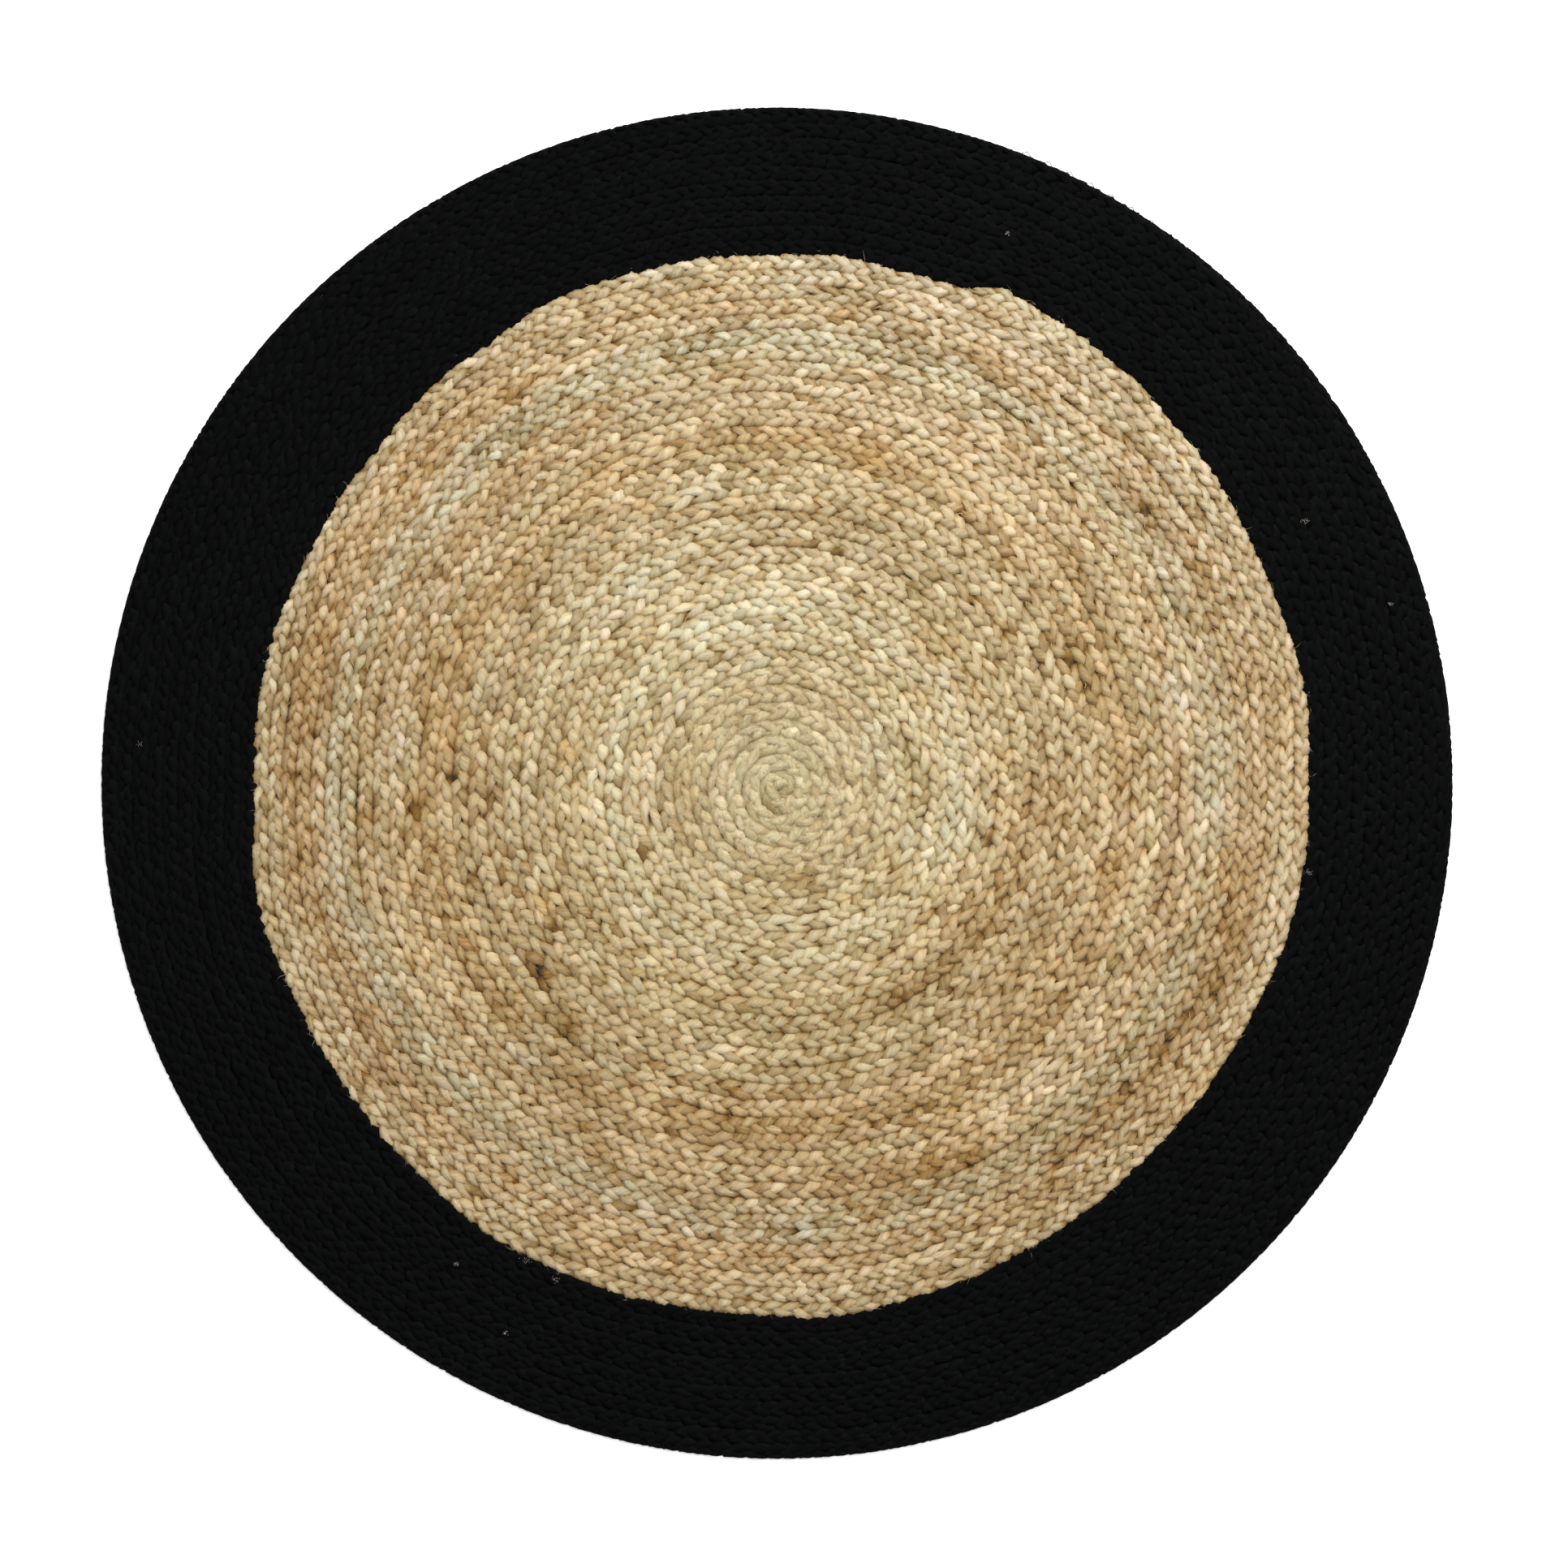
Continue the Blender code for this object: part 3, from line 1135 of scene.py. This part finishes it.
@dataclass
class Braid:
    """Three strands plaited flat along a coil's route."""

    dye: Dye
    coil: NaturalCoil | BlackCoil
    yarn: Yarn
    material: bpy.types.Material
    steps: int = 14             # rings along a strand for each full plait
    sides: int = 6              # points round a strand
    plait: float = 0.0444       # length in which a strand crosses over and comes back
    height: float = 0.0100
    strand_height: float = 0.0062
    strand_width: float = 0.62  # of the row's width
    press: float = 1.12         # how far neighbouring rows press into each other
    spread: float = 0.15        # how much wider a strand is where it crosses over another
    squeeze: float = 0.10       # how much thinner it is there
    square: float = 0.08        # how long a strand runs along the row's edge before it turns back
    rim_square: float = 0.22    # the same in the row at the rug's round edge
    rim: float = 0.6004         # no strand bulges out past this
    rim_round: float = 0.006    # how round the rug's edge is from top to bottom
    hollow: float = 0.16        # how much lower the row's edges lie than its middle
    lean: float = math.radians(50.0)    # how far a strand turns over at the row's edges
    tip: float = 0.005          # length over which a strand's end is rounded off
    fill: float = 1.07          # makes up for the flat sides of a strand's section
    twist: float = 0.045        # length in which a strand's fibres go round it once
    thinnest: float = 0.10      # a row counts as no narrower than this share of the usual one
    bluntest: float = 0.01      # how blunt a strand's very end is
    felt_swell: float = 0.22    # how much fuller a strand is where it is matted
    felt_cover: float = 0.75    # how far matted fibres hide the painted shade between the stitches
    rim_start: float = 0.583    # radius at which the last row's changes set in
    rim_width: float = 0.006    # width over which they do
    rim_calm: float = 0.7       # how much less the last row's strands stray
    floor: float = 0.0002       # no strand reaches lower
    shaded: float = 0.0054      # height up to which the yarn is down between the stitches, where its painted shade (painted light on the black yarn) is full
    crest: float = 0.0042       # height from there to the crests, over which that painted shade fades out
    fibres_round: float = 7.5   # scale of the fibres' pattern round a strand
    fibres_along: float = 90.0  # and along it, to a metre
    samples: int = 400_000      # places at which the route is worked out
    pace: Sway = Sway(0.11, 0.055, 1)           # plaits by which all three strands run ahead
    own_pace: Sway = Sway(0.032, 0.018, 1)      # and one alone
    row_height: Sway = Sway(0.03, 0.06, 2)
    thickness: Sway = Sway(0.07, 0.014, 2)
    breadth: Sway = Sway(0.10, 0.016, 3)
    row_stray: Sway = Sway(0.0004, 0.05, 3)     # metres sideways, all three strands
    own_stray: Sway = Sway(0.0006, 0.013, 4)    # and one alone
    own_lift: Sway = Sway(0.00038, 0.014, 5)
    shade: Sway = Sway(0.4, 0.009, 90)          # random change in the painted shade between the stitches
    seed: int = 1
    strands: list[Strand] = field(default_factory=list)
    pieces: list[bpy.types.Object] = field(default_factory=list)

    def route(self) -> dict[str, np.ndarray]:
        """Points along the middle of the row, one for each step of the strands.

        Returns:
            Arrays named along, middle, out, width and row.
        """
        sweep = np.linspace(self.coil.first_sweep, self.coil.last_sweep, self.samples)
        inner, outer, angle = self.coil.sides(sweep)
        radius = 0.5 * (inner + outer)
        ray = np.stack((np.cos(angle), np.sin(angle)), axis=1)
        middle = radius[:, None] * ray + self.coil.shift(radius)
        along = length_along(middle)
        places = np.linspace(0.0, along[-1], int(along[-1] / self.plait * self.steps))
        read: Callable[[np.ndarray], np.ndarray] = lambda values: np.interp(places, along, values)
        points = np.stack([read(middle[:, 0]), read(middle[:, 1])], axis=1)
        points = points + HAND_WANDER.shift(points)
        ahead = unit(np.gradient(points, axis=0))
        return {
            "along": places,
            "middle": points,
            "out": np.stack((ahead[:, 1], -ahead[:, 0]), axis=1),
            "width": read(outer - inner),
            "row": read(sweep) / FULL_TURN,
        }

    def lay(self, number: int, route: dict[str, np.ndarray]) -> Strand:
        """Lay one strand along the route.

        Args:
            number: Which of the three strands.
            route: What route() gives.

        Returns:
            The strand.
        """
        along, width = route["along"], route["width"]
        common, own = self.seed * 100, self.seed * 100 + 10 * number + 10
        uneven = self.pace.along(along, common) + self.own_pace.along(along, own)
        phase = FULL_TURN * (along / self.plait + uneven + number / 3.0)
        crossing = np.cos(4.0 * (phase - math.pi / 4.0))

        narrow = np.sqrt(np.clip(width / np.median(width), self.thinnest, 1.0))
        height = self.height * narrow * (1.0 + self.row_height.along(along, common))
        left = np.minimum(along - along[0], along[-1] - along) / self.tip
        rounded = np.sqrt(np.clip(1.0 - (1.0 - np.clip(left, 0.0, 1.0)) ** 2, self.bluntest, 1.0))
        reach = np.linalg.norm(route["middle"], axis=1)
        felted = matted(reach)
        body = self.strand_height * narrow * (1.0 + self.felt_swell * felted)
        thick = body * rounded * (1.0 - self.squeeze * crossing) * (1.0 + self.thickness.along(along, own))
        broad = self.strand_width * width * rounded * (1.0 + self.spread * crossing)
        broad *= 1.0 + self.breadth.along(along, own)

        rim = np.clip((reach - self.rim_start) / self.rim_width, 0.0, 1.0)
        square = self.square + (self.rim_square - self.square) * rim
        wave = np.sin(phase) + square * np.sin(3.0 * phase)
        side = 0.5 * (self.press * width - body) / (1.0 - square) * wave
        stray = self.own_stray.along(along, own) + self.row_stray.along(along, common)
        side += narrow * stray * (1.0 - self.rim_calm * rim)
        rise = np.sin(2.0 * phase) + self.hollow * np.cos(2.0 * phase)
        level = (height - body * (1.0 - self.squeeze)) / math.hypot(1.0, self.hollow)
        lift = 0.5 * height + 0.5 * level * rise
        lift += narrow * self.own_lift.along(along, own)

        out = np.column_stack((route["out"], np.zeros(len(along))))
        centre = np.column_stack((route["middle"], lift)) + out * side[:, None]
        ahead = unit(np.gradient(centre, axis=0))
        lean = self.lean * np.sin(phase) ** 3
        up = out * np.sin(lean)[:, None] + UP * np.cos(lean)[:, None]
        up = unit(up - ahead * np.sum(up * ahead, axis=1, keepdims=True))
        across = np.cross(ahead, up)

        turn = np.linspace(0.0, FULL_TURN, self.sides, endpoint=False)
        tall = 0.5 * self.fill * thick[:, None, None] * np.cos(turn)[None, :, None]
        wide = 0.5 * self.fill * broad[:, None, None] * np.sin(turn)[None, :, None]
        points = centre[:, None, :] + up[:, None, :] * tall + across[:, None, :] * wide
        points[:, :, 2] = np.maximum(points[:, :, 2], self.floor)
        hold_inside(points, self.rim - self.rim_round * (points[:, :, 2] / self.height - 0.5) ** 2)
        turns = np.broadcast_to(turn, points.shape[:2])
        return Strand(points, centre, ahead, up, along, route["row"], turns, felted)

    def skin(self, number: int, strand: Strand) -> bpy.types.Object:
        """Cover one strand with faces and store what its material reads.

        Args:
            number: Which of the three strands.
            strand: The strand.

        Returns:
            The finished piece.
        """
        count, sides = strand.points.shape[:2]
        tube, ring, side = tube_faces(count, sides)
        around = np.arange(sides)
        caps = np.stack((around[::-1], (count - 1) * sides + around))
        points = strand.points.reshape(-1, 3)
        piece = new_mesh(f"{self.dye.slot}_strand_{'abc'[number]}", points, (tube, caps))

        lanes = max(int(math.sqrt(count / sides)), 1)
        run = math.ceil(count / lanes)
        left, low = (ring % run) / run, (ring // run + side / sides) / (lanes + 1)
        strip = tube_map(left, left + 1.0 / run, low, low + 1.0 / (sides * (lanes + 1)))
        corner = around * FULL_TURN / sides
        end = END_SIZE * np.stack((np.cos(corner), np.sin(corner)), axis=1)
        unfold(piece, np.concatenate((strip, end + (0.25, END_FACES), end + (0.75, END_FACES))))

        along = np.repeat(strand.along, sides)
        turn = strand.turn.ravel() + along * FULL_TURN / self.twist
        around_it = (np.cos(turn) * self.fibres_round, np.sin(turn) * self.fibres_round)
        store(piece, "fibre", "FLOAT_VECTOR", np.stack((*around_it, along * self.fibres_along), axis=1))
        # How far down between the stitches each point lies: painted shade on the natural yarn and painted
        # light on the black yarn there, changing along the strand and less where the middle is matted.
        painted_shade = 1.0 - np.clip((points[:, 2] - self.shaded) / self.crest, 0.0, 1.0)
        shade = 1.0 + self.shade.along(strand.along, self.seed * 100 + number)
        shade *= 1.0 - self.felt_cover * strand.felted
        store(piece, "crest", "FLOAT", 1.0 - painted_shade * np.repeat(shade, sides))
        for name, values in self.yarn.tint(strand.along, strand.centre, number).items():
            store(piece, name, "FLOAT", np.repeat(values, sides))
        return piece

    def build(self) -> None:
        """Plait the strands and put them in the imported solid's place."""
        route = self.route()
        for number in range(3):
            strand = self.lay(number, route)
            piece = self.skin(number, strand)
            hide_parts(self.dye.node)
            dress(piece, self.material)
            self.strands.append(strand)
            self.pieces.append(piece)
            LOG.info("%s: %d faces", piece.name, len(piece.data.polygons))


# ---------------------------------------------------------------------------------------------------
# Loose fibres and sewing


# Where a fibre's points lie in its cell of the bake map: three round the root, three round the bend, the tip.
NEEDLE_SPOTS = np.array(((0.1, 0.1), (0.1, 0.5), (0.1, 0.9), (0.5, 0.1), (0.5, 0.5), (0.5, 0.9), (0.9, 0.5)))
NEEDLE_POINTS = len(NEEDLE_SPOTS)
NEEDLE_TRIANGLES = np.array(((0, 2, 1), (3, 4, 6), (4, 5, 6), (5, 3, 6)))
NEEDLE_SQUARES = np.array(((0, 1, 4, 3), (1, 2, 5, 4), (2, 0, 3, 5)))
NEARLY_UP = np.array((0.02, 0.03, 1.0))     # no fibre runs this way, so it gives each one a side
BEND_RADIUS = 0.8                           # of a fibre at its bend, against its root


@dataclass
class Needles:
    """Many thin tapered fibres, each with a root, a bend and a tip."""

    root: np.ndarray
    bend: np.ndarray
    tip: np.ndarray
    radius: np.ndarray
    tone: np.ndarray        # from 0, dull, to 1, bright

    def piece(self, name: str, dye: Dye, material: bpy.types.Material) -> bpy.types.Object:
        """Join the fibres in one closed-skinned piece that rides on the rug.

        Args:
            name: The piece's name.
            dye: The braid that they come from; not used.
            material: What they are made of.

        Returns:
            The new piece.
        """
        count = len(self.root)
        course = unit(self.tip - self.root)
        side = unit(np.cross(course, NEARLY_UP))
        ring = three_sided(side, np.cross(side, course)) * self.radius[:, None, None]
        rings = (self.root[:, None] + ring, self.bend[:, None] + BEND_RADIUS * ring, self.tip[:, None])
        points = np.concatenate(rings, axis=1).reshape(-1, 3)
        first = NEEDLE_POINTS * np.arange(count)[:, None, None]
        faces = ((first + NEEDLE_TRIANGLES).reshape(-1, 3), (first + NEEDLE_SQUARES).reshape(-1, 4))
        made = new_mesh(name, points, faces)

        cells = math.ceil(math.sqrt(count))
        used = np.concatenate([corners.ravel() for corners in faces])
        fibre = used // NEEDLE_POINTS
        corner = np.stack((fibre % cells, fibre // cells), axis=1)
        unfold(made, (corner + NEEDLE_SPOTS[used % NEEDLE_POINTS]) / cells)
        store(made, "tone", "FLOAT", np.repeat(self.tone, NEEDLE_POINTS))
        dress(made, material)
        LOG.info("%s: %d fibres", name, count)
        return made


@dataclass
class Fuzz:
    """Fibres that stand out of the yarn all over one braid."""

    braid: Braid
    material: bpy.types.Material
    count: int
    matted: int = 0                 # more of them, felted over the middle
    fringe: int = 0                 # more of them, reaching out past the braid's last row
    length: tuple[float, float] = (0.005, 0.013)
    radius: tuple[float, float] = (0.00007, 0.00014)
    stray: float = math.radians(32.0)
    felt_stray: float = 0.9         # how much more they stray where the rug is matted
    bow: float = 0.16               # how far they bow sideways, in lengths
    bend_bow: float = 0.6           # share of the bow at the bend
    tip_bow: float = 0.4            # and at the tip, the other way
    rise: float = 0.11              # most that they rise to the bend, in lengths
    tip_rise: tuple[float, float] = (-0.8, 1.8)         # of the tip, in rises to the bend
    felt_flat: float = 0.5          # how much less they rise where the rug is matted
    felt_thick: float = 0.3         # how much thicker they are there
    felt_from: float = 0.25         # how matted a ring has to be for the added ones
    levels: tuple[float, float] = (0.0085, 0.0135)      # heights between which bend and tip stay
    root_level: float = 0.48        # share of the braid's height above which they leave the yarn
    rest: float = 0.0018            # how far inside the rug's round edge the outermost ones end
    seed: int = 5

    def pick(self, draw: np.random.Generator, strand: Strand) -> np.ndarray:
        """Choose the rings of a strand that fibres leave from.

        Args:
            draw: Where random numbers come from.
            strand: The strand.

        Returns:
            Ring numbers, this strand's third of the fibres.
        """
        high = strand.centre[:, 2] > self.root_level * self.braid.height
        groups = (
            (self.count, high),
            (self.matted, high & (strand.felted > self.felt_from)),
            (self.fringe, high & (strand.row > strand.row.max() - 1.0)),
        )
        chosen = [draw.choice(np.flatnonzero(which), many // 3) for many, which in groups if many]
        return np.concatenate(chosen)

    def grow(self, draw: np.random.Generator, strand: Strand) -> tuple[np.ndarray, ...]:
        """Draw the fibres of one strand.

        Args:
            draw: Where random numbers come from.
            strand: The strand.

        Returns:
            Root, bend, tip, radius and tone of each fibre.
        """
        ring = self.pick(draw, strand)
        count, sides = len(ring), self.braid.sides
        place = draw.choice((0, 1, sides - 1), count)
        root, ahead = strand.points[ring, place], strand.ahead[ring]
        across = np.cross(ahead, strand.up[ring])
        felted = strand.felted[ring]
        veer = draw.normal(0.0, 1.0, count) * self.stray * (1.0 + self.felt_stray * felted)
        way = draw.choice((-1.0, 1.0), count)[:, None]
        course = way * ahead * np.cos(veer)[:, None] + across * np.sin(veer)[:, None]
        length = draw.uniform(*self.length, count)[:, None]
        bow = np.cross(course, UP) * draw.normal(0.0, self.bow, count)[:, None]
        rise = draw.uniform(0.0, self.rise, count)[:, None] * (1.0 - self.felt_flat * felted[:, None])
        bend = root + length * (0.5 * course + self.bend_bow * bow + UP * rise)
        tip_rise = UP * rise * draw.uniform(*self.tip_rise, (count, 1))
        tip = root + length * (course - self.tip_bow * bow + tip_rise)
        for point in (bend, tip):
            point[:, 2] = np.clip(point[:, 2], *self.levels)
            hold_inside(point, self.braid.rim - self.rest)
        radius = draw.uniform(*self.radius, count) * (1.0 + self.felt_thick * felted)
        return root, bend, tip, radius, draw.uniform(0.0, 1.0, count)

    def build(self) -> bpy.types.Object:
        """Grow the fibres out of the strands.

        Returns:
            The piece that holds them all.
        """
        draw = np.random.default_rng(self.seed)
        parts = [self.grow(draw, strand) for strand in self.braid.strands]
        needles = Needles(*(np.concatenate(columns) for columns in zip(*parts)))
        return needles.piece(f"{self.braid.dye.slot}_fuzz", self.braid.dye, self.material)


@dataclass
class Litter:
    """Small tangles of pale lint that lie on the rug."""

    name: str
    material: bpy.types.Material
    spots: tuple[tuple[float, float, float], ...]
    each: int = 14
    length: tuple[float, float] = (0.0011, 0.0026)
    radius: tuple[float, float] = (0.00006, 0.00011)
    height: float = 0.0095
    shape: tuple[float, float] = (1.6, 0.9)     # of a tangle, in x and y
    bow: float = 0.3                # how far each half of a fibre veers, in lengths
    lift: float = 0.0022            # most that a bend or a tip lies higher than its root
    droop: float = 0.0008           # most that a tip lies lower
    seed: int = 9

    def build(self) -> bpy.types.Object:
        """Scatter the tangles.

        Returns:
            The piece that holds them all.
        """
        draw = np.random.default_rng(self.seed)
        spots = np.repeat(np.array(self.spots), self.each, axis=0)
        count = len(spots)
        around = draw.uniform(0.0, FULL_TURN, count)
        course = np.stack((np.cos(around), np.sin(around), np.zeros(count)), axis=1)
        bow = np.stack((-course[:, 1], course[:, 0], course[:, 2]), axis=1)
        length = draw.uniform(*self.length, count)[:, None]
        root = np.column_stack((spots[:, :2], np.full(count, self.height)))
        root[:, :2] += draw.normal(0.0, 1.0, (count, 2)) * spots[:, 2:] * self.shape
        bend = root + length * (0.5 * course + draw.normal(0.0, self.bow, (count, 1)) * bow)
        tip = bend + length * (0.5 * course + draw.normal(0.0, self.bow, (count, 1)) * bow)
        bend[:, 2] += draw.uniform(0.0, self.lift, count)
        tip[:, 2] += draw.uniform(-self.droop, self.lift, count)
        radius, tone = draw.uniform(*self.radius, count), draw.uniform(0.0, 1.0, count)
        return Needles(root, bend, tip, radius, tone).piece(self.name, Dye.NATURAL, self.material)


@dataclass
class Sewing:
    """The thread that joins each row to the one before it, in a zigzag across the seam."""

    braid: Braid
    material: bpy.types.Material
    stitch: float = 0.021           # length of seam that one zigzag takes
    reach: float = 0.0032           # how far it goes into the row on either side
    radius: float = 0.00045
    top: float = 0.0074
    bottom: float = 0.0016
    tone: float = 0.4
    samples: int = 200_000          # places at which the seam is worked out

    def zigzag(self) -> tuple[np.ndarray, float]:
        """Find the turning points of the thread.

        Returns:
            The points, and the length of the seam.
        """
        coil = self.braid.coil
        sweep = np.linspace(max(coil.first_sweep, 0.0) + FULL_TURN, coil.last_sweep, self.samples)
        inner, _, angle = coil.sides(sweep)
        ray = np.stack((np.cos(angle), np.sin(angle)), axis=1)
        seam = inner[:, None] * ray + coil.shift(inner)
        seam = seam + HAND_WANDER.shift(seam)
        along = length_along(seam)
        places = np.arange(0.0, along[-1], 0.5 * self.stitch)
        base = np.stack([np.interp(places, along, seam[:, axis]) for axis in (0, 1)], axis=1)
        outward = np.stack([np.interp(places, along, ray[:, axis]) for axis in (0, 1)], axis=1)
        odd = np.arange(len(places)) % 2
        flat = base + outward * (self.reach * (2.0 * odd - 1.0))[:, None]
        return np.column_stack((flat, np.where(odd == 1, self.top, self.bottom))), along[-1]

    def build(self) -> bpy.types.Object:
        """Run the thread along the seam of every row after the first.

        Returns:
            The thread.
        """
        centre, length = self.zigzag()
        count = len(centre)
        ahead = unit(np.gradient(centre, axis=0))
        side = unit(np.cross(ahead, UP))
        points = (centre[:, None] + self.radius * three_sided(side, np.cross(side, ahead))).reshape(-1, 3)
        tube, ring, lane = tube_faces(count, 3)
        last = 3 * (count - 1)
        caps = np.array(((2, 1, 0), (last, last + 1, last + 2)))
        made = new_mesh(f"{self.braid.dye.slot}_thread", points, (tube, caps))

        cells = math.ceil(math.sqrt(count))
        size = 1.0 / (cells + 1.0)
        left, low = (ring % cells) / (cells + 1.0), (ring // cells) / (cells + 1.0)
        strip = tube_map(left, left + size, low + size * lane / 3.0, low + size * (lane + 1) / 3.0)
        end = 0.5 * END_SIZE * np.array(((0, 0), (1, 0), (0, 1)))
        unfold(made, np.concatenate((strip, end + (0.2, END_FACES), end + (0.6, END_FACES))))
        store(made, "tone", "FLOAT", np.full(len(points), self.tone))
        dress(made, self.material)
        LOG.info("%s: %.1f m of seam", made.name, length)
        return made


# ---------------------------------------------------------------------------------------------------
# Studio


@dataclass(frozen=True)
class SoftLight:
    """A square light that faces the rug."""

    name: str
    place: tuple[float, float, float]
    size: float         # side in metres
    power: float        # watts

    def hang(self) -> None:
        """Put it in its place, turned towards the middle of the rug."""
        data = bpy.data.lights.new(self.name, "AREA")
        data.size, data.energy = self.size, self.power
        made = bpy.data.objects.new(self.name, data)
        made.location = self.place
        made.rotation_euler = (-made.location).to_track_quat("-Z", "Y").to_euler()
        bpy.context.scene.collection.objects.link(made)


@dataclass
class Studio:
    """Floor, lights and the camera that looks straight down."""

    frame_width: float = 1.3958     # of floor that the picture takes in
    aim: tuple[float, float] = (0.0062, -0.0008)
    lens: float = 70.0
    sensor: float = 36.0
    floor_size: float = 30.0
    lights: tuple[SoftLight, ...] = (
        SoftLight("key", (0.9, 2.3, 2.1), size=0.9, power=64.0),
        SoftLight("overhead", (0.35, 0.5, 3.3), size=1.2, power=69.0),
    )
    sky: float = 0.385

    def camera(self) -> None:
        """Look straight down from where the picture was taken."""
        data = bpy.data.cameras.new("camera")
        data.lens, data.sensor_width = self.lens, self.sensor
        made = bpy.data.objects.new("camera", data)
        made.location = (*self.aim, self.frame_width * self.lens / self.sensor)
        bpy.context.scene.collection.objects.link(made)
        bpy.context.scene.camera = made

    def floor(self) -> None:
        """Lay a pale floor."""
        bpy.ops.mesh.primitive_plane_add(size=self.floor_size)
        made = bpy.context.object
        made.name = "floor"
        made.data.materials.append(FloorFinish().material())

    def sky_glow(self) -> None:
        """Fill the room with even white light."""
        world = bpy.data.worlds.new("studio")
        world.use_nodes = True
        glow = world.node_tree.nodes["Background"].inputs
        glow["Color"].default_value = (1.0, 1.0, 1.0, 1.0)
        glow["Strength"].default_value = self.sky
        bpy.context.scene.world = world

    def build(self) -> None:
        """Set up all of it."""
        bpy.context.scene.view_settings.view_transform = "Standard"
        self.camera()
        self.floor()
        for light in self.lights:
            light.hang()
        self.sky_glow()
        LOG.info("studio: floor, %d soft lights, sky and camera", len(self.lights))


# Where single tangles show: x and y in metres from the rug's middle, then how far they spread.
LINT_SPOTS = (
    (-0.5651, 0.0347, 0.0008),
    (0.4679, 0.2326, 0.0009),
    (0.5438, 0.1589, 0.0006),
    (0.2042, 0.4876, 0.0006),
    (-0.2848, -0.4262, 0.0007),
    (-0.2401, -0.4876, 0.0007),
    (0.4679, 0.0795, 0.0012),
    (0.4715, -0.0795, 0.0012),
    (-0.2220, -0.4226, 0.0013),
    (-0.1967, -0.4407, 0.0013),
)


def main() -> None:
    """Build the rug and its studio."""
    logging.basicConfig(level=logging.INFO, format="%(message)s")
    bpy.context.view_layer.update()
    natural = Braid(Dye.NATURAL, NaturalCoil(), NATURAL_YARN, JuteFinish().material(), seed=1)
    natural.build()
    black = Braid(
        Dye.BLACK,
        BlackCoil(natural.coil),
        BLACK_YARN,
        BlackFinish().material(),
        steps=10,
        sides=5,
        strand_width=0.68,
        press=1.15,
        fill=1.12,
        seed=2,
    )
    black.build()

    pale, lint, dark = (finish.material() for finish in (PALE_FIBRE, LINT_FIBRE, BLACK_FIBRE))
    pale_loose = [
        Fuzz(natural, pale, count=5400, matted=6000, fringe=600, seed=5).build(),
        Litter("natural_jute_lint", lint, LINT_SPOTS).build(),
        Sewing(natural, pale).build(),
    ]
    black_loose = [Fuzz(black, dark, count=2000, seed=6).build(), Sewing(black, dark).build()]
    Studio().build()


if __name__ == "__main__":
    main()
